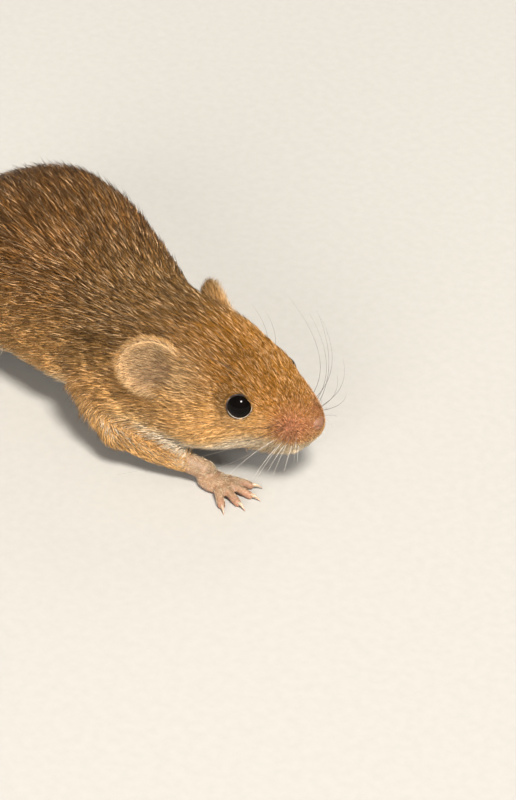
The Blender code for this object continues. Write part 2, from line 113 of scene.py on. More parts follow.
def onHead(back, out, height):
    return noseRoot - headForward * back * mm + headLeft * out * mm + Vector((0, 0, height * mm))


def headVector(parts, side):
    return (headForward * parts[0] + headLeft * side * parts[1] + Vector((0, 0, parts[2]))).normalized()


eye = {"radius": 1.55, "axis": (0.46, 0.84, 0.28), "lidOut": 0.86, "opening": 1.31, "lid": 0.075}
ear = {
    "base": (15.0, 5.5, 13.1), "up": (-0.86, 0.44, 0.26), "facing": (0.46, 0.86, 0.22),
    "width": 3.1, "depth": 1.75, "height": 3.4, "raise": 2.5, "cup": 0.72, "rim": 0.93,
}


def earFrame(sign):  # the middle of the ear's ellipsoid and its three directions
    back, out, height = ear["base"]
    up = headVector(ear["up"], sign)
    across = up.cross(headVector(ear["facing"], sign)).normalized()
    facing = across.cross(up).normalized()
    return onHead(back, sign * out, height) + up * ear["raise"] * mm, across, facing, up


def inEar(points, sign):  # the same points measured along the ear's directions, in mm
    centre, *axes = earFrame(sign)
    return ((points - np.array(centre)) / mm) @ np.array(axes).T


def ease(low, high, x):
    t = np.clip((x - low) / (high - low), 0, 1)
    return t * t * (3 - 2 * t)


def ball(points, centre, reach):  # 1 at the centre, fading over reach mm
    d = np.linalg.norm(points - np.array(centre), axis=1) / mm
    return np.exp(-((d / reach) ** 2))


print("places found, head turned", round(headTurn, 1), "degrees")


# Meshes

def meshArrays(mesh):
    points = np.empty(len(mesh.vertices) * 3)
    mesh.vertices.foreach_get("co", points)
    normals = np.empty(len(mesh.vertices) * 3)
    mesh.vertex_normals.foreach_get("vector", normals)
    return points.reshape(-1, 3), normals.reshape(-1, 3)


def setPoints(mesh, points):
    mesh.vertices.foreach_set("co", np.ascontiguousarray(points, dtype=np.float32).ravel())
    mesh.update()


def newPiece(name, mesh, material, slot, *nodes):
    piece = bpy.data.objects.new(name, mesh)
    scene.collection.objects.link(piece)
    mesh.name = name
    if material:
        mesh.materials.clear()
        mesh.materials.append(material)
    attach(piece, "root")
    if nodes:
        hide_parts(*nodes)
    return piece


def setTint(mesh, colours):
    rgba = np.column_stack((colours, np.ones(len(colours))))
    layer = mesh.attributes.new("tint", "FLOAT_COLOR", "POINT")
    layer.data.foreach_set("color", rgba.astype(np.float32).ravel())


def setAlong(mesh, values):  # how far along the piece or the hair each point is, for its material
    layer = mesh.attributes.new("along", "FLOAT", "POINT")
    layer.data.foreach_set("value", values.astype(np.float32))


def bmToMesh(bm, name):
    bmesh.ops.remove_doubles(bm, verts=bm.verts[:], dist=1e-6)
    bmesh.ops.recalc_face_normals(bm, faces=bm.faces[:])
    bm.verts.index_update()
    faces = []
    for face in bm.faces:  # in a fixed order, so that every run scatters the same hairs on them
        corners = [v.index for v in face.verts]
        first = corners.index(min(corners))
        faces.append(corners[first:] + corners[:first])
    mesh = bpy.data.meshes.new(name)
    mesh.from_pydata([v.co.copy() for v in bm.verts], [], sorted(faces))
    bm.free()
    mesh.shade_smooth()
    return mesh


def smoothVerts(bm, verts, factor=0.5):
    bmesh.ops.smooth_vert(bm, verts=verts, factor=factor, use_axis_x=True, use_axis_y=True, use_axis_z=True)


def smoothPart(mesh, picked, rounds):  # smooths the picked vertices only
    bm = bmesh.new()
    bm.from_mesh(mesh)
    bm.verts.ensure_lookup_table()
    verts = [bm.verts[i] for i in np.flatnonzero(picked)]
    for _ in range(rounds):
        smoothVerts(bm, verts)
    bm.to_mesh(mesh)
    bm.free()


def everyVertex(mesh):
    return np.ones(len(mesh.vertices), dtype=bool)


def keepLegEnd(part, cuff):  # cuts the leg above the cuff, and keeps only the piece at the foot
    bmesh.ops.bisect_plane(
        part, geom=part.verts[:] + part.edges[:] + part.faces[:], dist=1e-7,
        plane_co=cuff["place"] + cuff["way"] * cuff["reach"], plane_no=cuff["way"], clear_outer=True
    )
    bmesh.ops.holes_fill(part, edges=[e for e in part.edges if e.is_boundary])
    first = min(part.verts, key=lambda v: (v.co - cuff["place"]).length)
    kept, queue = {first}, [first]
    while queue:
        vert = queue.pop()
        near = {e.other_vert(vert) for e in vert.link_edges} - kept
        kept |= near
        queue += near
    bmesh.ops.delete(part, geom=[v for v in part.verts if v not in kept], context="VERTS")


def meltedMesh(name, nodes, voxel, swell, rounds, cuff=None):  # one closed skin, without seams
    bm = bmesh.new()
    for node in nodes:
        part = bmesh.new()
        part.from_mesh(bpy.data.objects[node].data)
        bmesh.ops.remove_doubles(part, verts=part.verts[:], dist=1e-6)
        if cuff and node == cuff["leg"]:
            keepLegEnd(part, cuff)
        part.normal_update()
        for v in part.verts:
            v.co += v.normal * swell * mm
        copy = bpy.data.meshes.new("part")
        part.to_mesh(copy)
        part.free()
        bm.from_mesh(copy)
        bpy.data.meshes.remove(copy)
    mesh = bpy.data.meshes.new(name)
    bm.to_mesh(mesh)
    bm.free()
    block = bpy.data.objects.new(name, mesh)
    scene.collection.objects.link(block)
    remesh = block.modifiers.new("melt", "REMESH")
    remesh.mode = "VOXEL"
    remesh.voxel_size = voxel * mm
    graph = bpy.context.evaluated_depsgraph_get()
    melted = bpy.data.meshes.new_from_object(block.evaluated_get(graph))
    bpy.data.objects.remove(block)
    smoothPart(melted, everyVertex(melted), rounds)
    melted.shade_smooth()
    return melted


# Materials

def nodesOf(name, **sockets):
    material = bpy.data.materials.new(name)
    material.use_nodes = True
    tree = material.node_tree
    shader = tree.nodes["Principled BSDF"]
    for key, value in sockets.items():
        shader.inputs[key.replace("_", " ")].default_value = value
    return material, tree, shader


def addNode(tree, kind, inputs=None, **settings):
    node = tree.nodes.new(kind)
    for key, value in settings.items():
        setattr(node, key, value)
    for key, value in (inputs or {}).items():
        if isinstance(value, bpy.types.NodeSocket):
            tree.links.new(value, node.inputs[key])
        else:
            node.inputs[key].default_value = value
    return node


def ramp(tree, factor, *stops):
    node = addNode(tree, "ShaderNodeValToRGB", {"Fac": factor})
    while len(node.color_ramp.elements) < len(stops):
        node.color_ramp.elements.new(0.5)
    for element, (place, grey) in zip(node.color_ramp.elements, stops):
        element.position = place
        element.color = (grey, grey, grey, 1)
    return node.outputs["Color"]


def multiply(tree, a, b):
    node = addNode(tree, "ShaderNodeMix", {0: 1.0, 6: a, 7: b}, data_type="RGBA", blend_type="MULTIPLY")
    return node.outputs[2]


def maths(tree, operation, *values):
    return addNode(tree, "ShaderNodeMath", dict(enumerate(values)), operation=operation).outputs[0]


def attributeOf(tree, name, output="Color"):
    return addNode(tree, "ShaderNodeAttribute", attribute_name=name).outputs[output]


def objectPlace(tree):
    return addNode(tree, "ShaderNodeTexCoord").outputs["Object"]


def noiseOf(tree, scale, detail=2.0):
    inputs = {"Vector": objectPlace(tree), "Scale": scale, "Detail": detail}
    return addNode(tree, "ShaderNodeTexNoise", inputs).outputs["Fac"]


def cellsOf(tree, scale):
    inputs = {"Vector": objectPlace(tree), "Scale": scale}
    return addNode(tree, "ShaderNodeTexVoronoi", inputs).outputs["Distance"]


def bumpBy(tree, shader, height, strength, distance):
    bump = addNode(tree, "ShaderNodeBump", {"Height": height, "Strength": strength, "Distance": distance})
    tree.links.new(bump.outputs[0], shader.inputs["Normal"])


def colourBy(tree, shader, *layers):  # the base colour is all the layers multiplied
    colour = layers[0]
    for layer in layers[1:]:
        colour = multiply(tree, colour, layer)
    tree.links.new(colour, shader.inputs["Base Color"])


def coatFinish():
    material, tree, shader = nodesOf("guardHair", Roughness=0.5, Specular_IOR_Level=0.35)
    shade = ramp(tree, attributeOf(tree, "along", "Fac"), (0.0, 0.22), (0.35, 0.62), (0.7, 1.0), (1.0, 1.12))
    colourBy(tree, shader, attributeOf(tree, "tint"), shade)
    return material


def underfurFinish():
    material, tree, shader = nodesOf("underfur", Roughness=0.85, Specular_IOR_Level=0.2)
    noise = noiseOf(tree, 4500.0, 4.0)
    bumpBy(tree, shader, noise, 0.6, 0.0002)
    colourBy(tree, shader, attributeOf(tree, "tint"), ramp(tree, noise, (0.3, 0.45), (0.7, 1.1)))
    return material


def skinFinish(name, roughness, scale, strength, distance, low, soft):
    material, tree, shader = nodesOf(
        name, Roughness=roughness, Specular_IOR_Level=0.4, Subsurface_Weight=soft, Subsurface_Scale=0.0006
    )
    noise = noiseOf(tree, scale, 4.0)
    bumpBy(tree, shader, noise, strength, distance)
    colourBy(tree, shader, attributeOf(tree, "tint"), ramp(tree, noise, (0.3, low), (0.7, 1.12)))
    return material


def pawFinish():
    material, tree, shader = nodesOf(
        "pawSkin", Roughness=0.5, Specular_IOR_Level=0.4, Subsurface_Weight=0.12, Subsurface_Scale=0.0005
    )
    uneven = maths(tree, "MULTIPLY_ADD", noiseOf(tree, 1600.0, 3.0), 0.5, attributeOf(tree, "along", "Fac"))
    wave = maths(tree, "SINE", maths(tree, "MULTIPLY", uneven, 17.0))  # creases across the toes
    cells = cellsOf(tree, 4200.0)
    bumpBy(tree, shader, maths(tree, "SUBTRACT", wave, cells), 0.25, 0.00003)
    # painted shade: darker down in the creases
    creases = ramp(tree, wave, (0.0, 0.88), (0.6, 1.0))
    pores = ramp(tree, cells, (0.0, 1.08), (0.6, 0.82))
    colourBy(tree, shader, attributeOf(tree, "tint"), creases, pores)
    return material


def tailFinish():
    material, tree, shader = nodesOf("tailSkin", Roughness=0.6, Specular_IOR_Level=0.35)
    wave = maths(tree, "SINE", maths(tree, "MULTIPLY", attributeOf(tree, "along", "Fac"), 14.0))  # its rings
    bumpBy(tree, shader, maths(tree, "SUBTRACT", wave, cellsOf(tree, 3200.0)), 0.35, 0.00004)
    # painted shade: darker in the grooves between the rings
    colourBy(tree, shader, attributeOf(tree, "tint"), ramp(tree, wave, (0.0, 0.86), (1.0, 1.05)))
    return material


def clawFinish():
    material, tree, shader = nodesOf(
        "clawHorn", Roughness=0.3, Subsurface_Weight=0.4, Subsurface_Scale=0.0004
    )
    colourBy(tree, shader, (0.50, 0.36, 0.25, 1), ramp(tree, noiseOf(tree, 2600.0), (0.3, 0.7), (0.7, 1.0)))
    return material


def eyeFinish():
    material, tree, shader = nodesOf("eyeBlack", Roughness=0.05, Specular_IOR_Level=0.09)
    shade = ramp(tree, noiseOf(tree, 900.0), (0.3, 0.5), (0.7, 1.0))
    colourBy(tree, shader, (0.003, 0.002, 0.0015, 1), shade)
    return material


def floorFinish():
    material, tree, shader = nodesOf("floorPaper", Roughness=0.9)
    shade = ramp(tree, noiseOf(tree, 900.0, 5.0), (0.3, 0.95), (0.7, 1.0))
    colourBy(tree, shader, (0.42, 0.405, 0.375, 1), shade)
    return material


skins = {  # soft is how far light goes in, low the darkest spots of the grain
    "earSkin": {
        "roughness": 0.6, "scale": 3500.0, "strength": 0.4, "distance": 0.0001, "low": 0.72, "soft": 0.3,
    },
    "noseSkin": {
        "roughness": 0.48, "scale": 9000.0, "strength": 0.5, "distance": 0.00006, "low": 0.8, "soft": 0.12,
    },
    "lidSkin": {
        "roughness": 0.75, "scale": 7000.0, "strength": 0.8, "distance": 0.00008, "low": 0.6, "soft": 0.12,
    },
}
earMaterial, noseMaterial, lidMaterial = (skinFinish(name, **values) for name, values in skins.items())
hairMaterial = coatFinish()
underfurMaterial = underfurFinish()
footMaterial = pawFinish()
tailMaterial = tailFinish()
clawMaterial = clawFinish()
eyeMaterial = eyeFinish()
print("materials made")


# Markings: the same colours for skin and coat, as functions of the place

markings = {
    "forehead": (0.40, 0.168, 0.018),
    "back": (0.34, 0.155, 0.040),
    "nape": (0.33, 0.170, 0.050),
    "side": (0.90, 0.50, 0.17),
    "lowSide": (0.95, 0.60, 0.25),
    "belly": (0.93, 0.80, 0.60),
    "muzzle": (0.44, 0.155, 0.052),
    "lip": (0.98, 0.78, 0.52),
    "bareSkin": (0.55, 0.23, 0.16),
    "paw": (0.30, 0.178, 0.10),
    "ear": (0.34, 0.17, 0.095),
    "earHair": (0.66, 0.42, 0.20),
    "earFront": (0.74, 0.52, 0.27),
    "tailTop": (0.24, 0.135, 0.075),
    "tailUnder": (0.46, 0.32, 0.21),
    "paleHair": (0.92, 0.67, 0.41),
}
paint = {name: np.array(colour) for name, colour in markings.items()}
bodyHeights = {  # mm back: underside and top of the coat
    0: (7.2, 10.2), 3.2: (6.4, 13), 7: (4.8, 15.2), 11.5: (3.5, 16.9), 18: (3.1, 17.9), 27: (2.5, 19),
    40: (1.5, 21.3), 46: (1.4, 20.8), 51: (1.8, 18.8), 55.5: (2.6, 15.4), 59: (3.8, 11.2), 61: (5.3, 7.8),
}
bodyUnder, bodyTop = ({back: ends[k] for back, ends in bodyHeights.items()} for k in (0, 1))
mouthLine = {-1.0: 6.90, 0.9: 6.75, 2.2: 6.25, 3.8: 6.10, 5.2: 6.15, 6.3: 6.45}  # mm back: its height
whiteLine = {  # mm back: share of the height up to which the coat is white
    0: 0.16, 3: 0.15, 6: 0.21, 10: 0.15, 16: 0.14, 24: 0.19, 40: 0.22, 60: 0.25,
}
whiteEdge = {0: 0.28, 4: 0.24, 10: 0.13}  # how softly the white begins there
pad = {"back": 2.5, "out": 2.5, "height": 9.5}  # the middle of a whisker pad
padPlaces = {side: onHead(pad["back"], sign * pad["out"], pad["height"]) for side, sign in sides.items()}


def patchy(points, size, seed):  # soft random patches, about size mm across, from 0 to 1
    k = np.random.default_rng(seed).normal(0, 1, (12, 3)) / (size * mm)
    phase = np.random.default_rng(seed + 1).uniform(0, 2 * math.pi, 12)
    return 0.5 + np.sin(points @ k.T + phase).sum(1) / 12 * 0.9


def blend(a, b, share):
    return a + (b - a) * share[:, None]


def allOf(colour, count):
    return np.tile(colour, (count, 1))


def atBack(table, back):  # read from a table that starts each entry with mm back from the nose
    return np.interp(back, list(table), list(table.values()))


def markingAt(points):
    back, out, _ = onSpine(points)
    height = points[:, 2] / mm
    under, top = atBack(bodyUnder, back), atBack(bodyTop, back)
    level = (height - under) / (top - under)
    level = level + 0.06 * (patchy(points, 3.0, 3) - 0.5)
    upper = blend(allOf(paint["forehead"], len(points)), paint["nape"], ease(11, 19, back))
    upper = blend(upper, paint["back"], ease(22, 34, back)) * (0.85 + 0.15 * ease(1, 5, back))[:, None]
    white, soft = atBack(whiteLine, back), atBack(whiteEdge, back)
    colour = blend(paint["side"][None], upper, ease(0.38, 0.80, level))
    colour = blend(colour, paint["lowSide"], 1 - ease(white + 0.02, white + 0.22, level))
    pale = blend(paint["lip"][None], paint["belly"], ease(4, 13, back + 3.0 * out**2 / 9 - 3))
    colour = blend(colour, pale, 1 - ease(white - 0.03, white - 0.03 + soft, level))
    earFronts = sum(ball(points, onHead(13.6, sign * 5.2, 13.0), 2.6) for sign in sides.values())
    colour = blend(colour, paint["earFront"], np.clip(0.55 * earFronts, 0, 1))
    pads = sum(ball(points, place, 1.6) for place in padPlaces.values())
    tip = 0.35 * (1 - ease(0.5, 5.0, back)) * (1 - 0.7 * ease(9.8, 11.2, height))
    snout = np.clip(pads + tip, 0, 1) * ease(white, white + soft, level)
    colour = blend(colour, paint["muzzle"], np.clip(snout, 0, 0.9))
    below = atBack(mouthLine, back) - height  # the shade under the upper lip
    shade = ease(-0.12, 0.04, below) * (1 - ease(0.25, 0.75, below)) * (1 - ease(4.2, 6.0, back))
    colour = colour * (1 - 0.7 * shade)[:, None]
    rim = sum(ball(points, place, 1.0 + eye["radius"]) ** 3 for place in eyes.values())
    return colour * ((0.88 + 0.28 * patchy(points, 1.6, 11)) * (1 - np.clip(rim, 0, 0.5)))[:, None]


# Skin over the whole body

fleshNodes = [
    "head", "neck", "torso", "foreleg_left", "foreleg_right", "hindleg_left", "hindleg_right",
]
eyeNodes = ["eye_left", "eye_right"]
skin = {  # in mm
    "voxel": 0.28, "swell": 0.18, "rounds": 11,  # how the solids melt into one
    "joinWidth": 1.6, "joinRounds": 60,  # the extra smoothing where a leg meets the body
    "behindEye": 1.25, "pinkFrom": 7.0, "pinkTo": 2.5,  # bare skin shows through at the snout
}
legEnds = {  # shoulder, elbow and wrist, or hip, knee and heel, in mm
    "foreleg_right": ((26.8, -6.6, 8.6), (33.0, -7.3, 4.7), (40.2, -1.7, 2.15)),
    "foreleg_left": ((24.8, 6.8, 8.6), (26.0, 8.6, 4.7), (31.8, 7.0, 2.15)),
    "hindleg_right": ((1.7, -6.9, 9.6), (10.5, -10.0, 6.8), (-0.1, -11.0, 2.7)),
    "hindleg_left": ((2.3, 8.4, 9.6), (9.8, 10.4, 6.8), (1.4, 12.8, 2.7)),
}


def treeOf(*nodes):
    bm = bmesh.new()
    for node in nodes:
        bm.from_mesh(bpy.data.objects[node].data)
    tree = BVHTree.FromBMesh(bm)
    bm.free()
    return tree


def nearestRegion(points):  # which leg or the body each point belongs to, and how far the next one is
    trees = [treeOf("head", "neck", "torso")] + [treeOf(leg) for leg in legEnds]
    reach = 3 * mm
    gaps = np.full((len(trees), len(points)), reach)
    for k, tree in enumerate(trees):
        for i, p in enumerate(points):
            hit = tree.find_nearest(p, reach)
            if hit[0] is not None:
                gaps[k, i] = hit[3]
    return gaps.argmin(0), np.sort(gaps, axis=0)[1] / mm


coatBack = (0, 1.5, 3, 5, 8, 12, 18, 26, 40, 55, 61)  # mm back from the nose
coat = {  # over the body: depth, length and width of the tufts in mm, and tufts on each mm2
    "depth": (0.08, 0.13, 0.20, 0.30, 0.44, 0.60, 0.80, 1.0, 1.2, 1.15, 0.85),
    "length": (0.34, 0.50, 0.72, 1.0, 1.45, 1.9, 2.4, 3.0, 3.6, 3.4, 2.6),
    "width": (0.042, 0.046, 0.05, 0.055, 0.062, 0.070, 0.08, 0.095, 0.105, 0.105, 0.105),
    "crowd": (215, 220, 205, 175, 140, 104, 68, 46, 36, 36, 40),
}
legCoat = {  # the same at the foot, and at the top of the leg
    "depth": (0.04, 0.95), "length": (0.5, 1.9), "width": (0.045, 0.085), "crowd": (105, 44),
}
lessByEye = {"depth": 0.6, "length": 0.45, "width": 0.2, "crowd": -0.8}


def coatAt(points, region, key):
    back, _, _ = onSpine(points)
    value = np.interp(back, coatBack, coat[key])
    low, high = legCoat[key]
    for k, leg in enumerate(legEnds, start=1):
        toEnd = np.linalg.norm(points - np.array(legEnds[leg][2]) * mm, axis=1) / mm
        value = np.where(region == k, low + (high - low) * ease(0.2, 9.0, toEnd), value)
    for place in eyes.values():
        value = value * (1 - ball(points, place, 2.6) * lessByEye[key])
    return value


def clearEye(points, side):  # the skin stays behind the eyeball inside the lids
    middle = np.array(eyes[side])
    axis = np.array(headVector(eye["axis"], sides[side]))
    offset = (points - middle) / mm
    out = offset @ axis
    far = np.linalg.norm(offset - out[:, None] * axis, axis=1)
    size = np.linalg.norm(offset, axis=1)
    behind = (far < eye["opening"] + 0.08) & (out > -0.5) & (size > skin["behindEye"]) & (size < 4)
    points[behind] = middle + offset[behind] / size[behind][:, None] * skin["behindEye"] * mm


def clearEar(points, sign):  # and inside the shell of the ear, behind its cup
    a, f, u = inEar(points, sign).T
    edge = 1 - (a / ear["width"] / ear["rim"]) ** 2 - (u / ear["height"] / ear["rim"]) ** 2
    shell = -(1 + ear["cup"]) / 2 * ear["depth"] * np.sqrt(np.clip(edge, 0, 1))
    inside = (edge > 0.04) & (f > shell) & (f < 2.5)
    facing = np.array(earFrame(sign)[2])
    points[inside] += (facing * (shell - f)[:, None] * mm)[inside]


def makeSkin():
    mesh = meltedMesh("skin", fleshNodes + eyeNodes, skin["voxel"], skin["swell"], skin["rounds"])
    region, toNext = nearestRegion(meshArrays(mesh)[0])
    smoothPart(mesh, toNext < skin["joinWidth"], skin["joinRounds"])
    points, normals = meshArrays(mesh)
    depth = coatAt(points, region, "depth") + skin["swell"]
    setPoints(mesh, points - normals * (depth * mm)[:, None])
    smoothPart(mesh, everyVertex(mesh), 4)
    points, _ = meshArrays(mesh)
    for side, sign in sides.items():
        clearEye(points, side)
        clearEar(points, sign)
    setPoints(mesh, points)
    points, _ = meshArrays(mesh)
    bare = 1 - ease(skin["pinkTo"], skin["pinkFrom"], onSpine(points)[0])
    setTint(mesh, blend(markingAt(points) * 0.62, paint["bareSkin"] * 0.85, bare * 0.35))
    newPiece("skin", mesh, underfurMaterial, "fur", *fleshNodes)
    return mesh, region, toNext


skinMesh, skinRegion, skinNext = makeSkin()
print("skin", len(skinMesh.polygons), "faces")


# Paws

foreFan = ((-40, 2.4), (-14, 3.0), (10, 3.1), (34, 2.4))  # degrees off the paw's line, toe's length in mm
hindFan = ((-34, 2.6), (-14, 3.9), (0, 4.3), (14, 3.9), (36, 2.5))
paws = {  # where the toes fan out from, in mm, and the way the paw points
    "forepaw_right": {"leg": "foreleg_right", "knuckles": (43.39, -0.23), "turn": 16.0},
    "forepaw_left": {"leg": "foreleg_left", "knuckles": (35.05, 7.61), "turn": 27.0},
    "hindfoot_right": {"leg": "hindleg_right", "knuckles": (5.95, -13.27), "turn": -16.5},
    "hindfoot_left": {"leg": "hindleg_left", "knuckles": (7.77, 13.76), "turn": 4.7},
}
pawKinds = {
    "forepaw": {"fan": foreFan, "spread": 0.62, "voxel": 0.11},
    "hindfoot": {"fan": hindFan, "spread": 0.6, "voxel": 0.15},
}
for node, paw in paws.items():
    paw.update(pawKinds[node.split("_")[0]])
pawSkin = {  # in mm; the cuff is bare skin that goes up under the coat of the leg
    "swell": 0.16, "rounds": 2, "sink": 0.12, "sinkUnderCoat": 0.46, "cuff": 2.0, "cuffTaper": 0.45,
}
claw = {"root": 0.9, "radius": 0.25, "toeEnd": 0.36, "toeRadius": 0.39}  # in mm


def flat(degrees):
    return Vector((math.cos(math.radians(degrees)), math.sin(math.radians(degrees)), 0))


def aheadOf(points, paw):  # mm in front of the knuckles
    return (points - np.array((*paw["knuckles"], 0.5)) * mm) @ np.array(flat(paw["turn"])) / mm


def toeEnds(paw):  # where each toe ends, and the way it faces
    across = flat(paw["turn"] + 90)
    knuckles = Vector((*paw["knuckles"], 0)) * mm
    middle = (len(paw["fan"]) - 1) / 2
    ends = []
    for k, (angle, length) in enumerate(paw["fan"]):
        facing = flat(paw["turn"] + angle)
        start = knuckles + across * (k - middle) * paw["spread"] * mm - facing * claw["root"] * mm
        end = start + facing * (length + claw["root"]) * mm
        end.z = claw["toeEnd"] * mm
        ends.append((end, facing))
    return ends


def drawTips(points, paw):  # the tips of the toes draw in, and the claws take their place
    for end, facing in toeEnds(paw):
        offset = (points - np.array(end)) / mm
        beyond = offset @ np.array(facing)
        aside = offset - beyond[:, None] * np.array(facing)
        near = (beyond > 0) & (np.linalg.norm(aside, axis=1) < 0.65)
        drawn = ease(0.05, 0.45, beyond) * near
        shortened = np.maximum(beyond - 0.45, 0) * near
        points = points - (aside * (0.8 * drawn)[:, None] + np.array(facing) * shortened[:, None]) * mm
    return points


def makePaw(node, paw):
    bend, wrist = (Vector(p) * mm for p in legEnds[paw["leg"]][1:])
    way = (bend - wrist).normalized()
    cuff = {"leg": paw["leg"], "place": wrist, "way": way, "reach": pawSkin["cuff"] * mm}
    name = node + "_skin"
    mesh = meltedMesh(name, [node, paw["leg"]], paw["voxel"], pawSkin["swell"], pawSkin["rounds"], cuff)
    points, normals = meshArrays(mesh)
    offset = (points - np.array(wrist)) / mm
    above = offset @ np.array(way)
    offset = offset - above[:, None] * np.array(way)
    aside = np.linalg.norm(offset, axis=1)
    onLeg = np.maximum(1 - ease(1.5, 2.4, aside), ease(2.2, 2.7, points[:, 2] / mm))
    sink = pawSkin["sink"] + pawSkin["sinkUnderCoat"] * ease(0.3, 1.8, above) * onLeg
    points = points - normals * (sink * mm)[:, None]
    taper = pawSkin["cuffTaper"] * ease(pawSkin["cuff"] - 0.7, pawSkin["cuff"], above) * onLeg
    setPoints(mesh, points - offset * taper[:, None] * mm)
    smoothPart(mesh, (np.abs(above) < 1.0) & (aside < 2.4), 12)
    points = drawTips(meshArrays(mesh)[0], paw)
    points[:, 2] = np.maximum(points[:, 2], 0.02 * mm)
    setPoints(mesh, points)
    setAlong(mesh, aheadOf(points, paw))
    pink = paint["paw"] * (0.8 + 0.4 * patchy(points, 1.2, 5))[:, None]
    setTint(mesh, blend(pink, paint["bareSkin"], 0.4 * (1 - ease(0.2, 1.4, points[:, 2] / mm))))
    newPiece(name, mesh, footMaterial, "foot_skin", node)
    return mesh


pawMeshes = {node: makePaw(node, paw) for node, paw in paws.items()}
print("paws", sum(len(m.polygons) for m in pawMeshes.values()), "faces")


# Claws

clawRings = (  # mm ahead of the toe's end, mm up, and share of the radius
    (-0.25, 0.04, 0.95), (0.05, 0.12, 1.0), (0.35, 0.19, 0.92),
    (0.7, 0.13, 0.68), (1.0, -0.08, 0.38), (1.22, -0.26, 0.08),
)


def clawMesh(bm, tip, facing):  # a curved, flattened cone
    side = facing.cross(Vector((0, 0, 1)))
    turn = axesMatrix(side * 0.75, Vector((0, 0, 1)), facing)
    rings = []
    for ahead, lift, share in clawRings:
        centre = tip + facing * (ahead - 0.1) * mm + Vector((0, 0, lift * mm))
        radius = claw["radius"] * share * mm
        ring = bmesh.ops.create_circle(bm, segments=10, radius=radius, cap_ends=False)["verts"]
        bmesh.ops.transform(bm, matrix=Matrix.Translation(centre) @ turn, verts=ring)
        rings.append(ring)
    for first, last in zip(rings, rings[1:]):
        around = [e for e in bm.edges if set(e.verts) <= set(first) or set(e.verts) <= set(last)]
        bmesh.ops.bridge_loops(bm, edges=around)
    for ring in (rings[0], rings[-1]):
        bm.faces.new(ring)


def makeClaws():
    bm = bmesh.new()
    for paw in paws.values():
        for end, facing in toeEnds(paw):
            clawMesh(bm, end + facing * claw["toeRadius"] * 0.3 * mm, facing)
    mesh = bmToMesh(bm, "claws")
    points, _ = meshArrays(mesh)
    points[:, 2] = np.maximum(points[:, 2], 0.01 * mm)
    setPoints(mesh, points)
    newPiece("claws", mesh, clawMaterial, "foot_skin")


makeClaws()
print("claws made")


# Tail

tailNodes = ["tail_1", "tail_2", "tail_3", "tail_4"]
tailLine = np.array((  # middle of the tail every 8 mm
    (-6.45, 1.99, 6.4), (-14.21, 3.91, 2.07), (-21.82, 6.39, 0.97), (-29.62, 8.09, 0.79),
    (-37.56, 7.68, 0.65), (-44.40, 3.70, 0.55), (-48.70, -2.98, 0.45), (-50.03, -10.82, 0.33),
)) * mm
tail = {"voxel": 0.17, "swell": 0.17, "rounds": 4, "sink": 0.14, "step": 8.0}  # in mm


def makeTail():
    mesh = meltedMesh("tail_skin", tailNodes, tail["voxel"], tail["swell"], tail["rounds"])
    points, normals = meshArrays(mesh)
    points = points - normals * tail["sink"] * mm
    points[:, 2] = np.maximum(points[:, 2], 0.02 * mm)
    setPoints(mesh, points)
    fine = np.linspace(0, len(tailLine) - 1, 400)
    line = np.column_stack([np.interp(fine, range(len(tailLine)), tailLine[:, k]) for k in range(3)])
    setAlong(mesh, fine[nearestOn(line, points)] * tail["step"])
    colour = blend(paint["tailUnder"][None], paint["tailTop"], ease(-0.35, 0.35, normals[:, 2]))
    setTint(mesh, colour * (0.85 + 0.3 * patchy(points, 1.5, 9))[:, None])
    newPiece("tail_skin", mesh, tailMaterial, "tail_skin", *tailNodes)
    return mesh


tailMesh = makeTail()
print("tail", len(tailMesh.polygons), "faces")


# Ears

def makeEar(name, sign):
    centre, across, facing, up = earFrame(sign)
    bm = bmesh.new()
    bmesh.ops.create_uvsphere(bm, u_segments=72, v_segments=48, radius=1.0)
    for v in bm.verts:
        a, f, u = v.co
        if f > 0:  # the open side is pressed in to make the cup
            edge = math.sqrt(max(0.0, 1 - a * a - u * u))
            fold = 0.10 * math.exp(-((a + 0.35) / 0.22) ** 2 - ((u + 0.45) / 0.5) ** 2)
            v.co = Vector((a * ear["rim"], -ear["cup"] * edge**2 + fold + 0.05 * (1 - edge), u * ear["rim"]))
        v.co = Vector((v.co.x * ear["width"], v.co.y * ear["depth"], v.co.z * ear["height"])) * mm
    place = Matrix.Translation(centre) @ axesMatrix(across, facing, up)
    bmesh.ops.transform(bm, matrix=place, verts=bm.verts[:])
    for _ in range(2):
        smoothVerts(bm, bm.verts[:], 0.4)
    mesh = bmToMesh(bm, name + "_skin")
    points, _ = meshArrays(mesh)
    setTint(mesh, paint["ear"] * (0.8 + 0.4 * patchy(points, 0.8, 21))[:, None])
    newPiece(name + "_skin", mesh, earMaterial, "ear_skin", name)
    return mesh, centre, up, facing


earParts = {side: makeEar("ear_" + side, sign) for side, sign in sides.items()}
print("ears made")


# Eyes and lids

lid = {  # the dark lid, and the thin wet edge inside it, pale below: partly pale skin and partly a painted glint, with a painted highlight at the inner corner
    "dark": (0.022, 0.014, 0.011), "pale": (0.24, 0.17, 0.13), "squash": 0.9,
    "edgeDark": (0.03, 0.02, 0.016), "edgePaleAndGlint": (0.66, 0.56, 0.47), "edge": 0.03, "edgeOut": 0.06,
    "corner": 0.05,
}


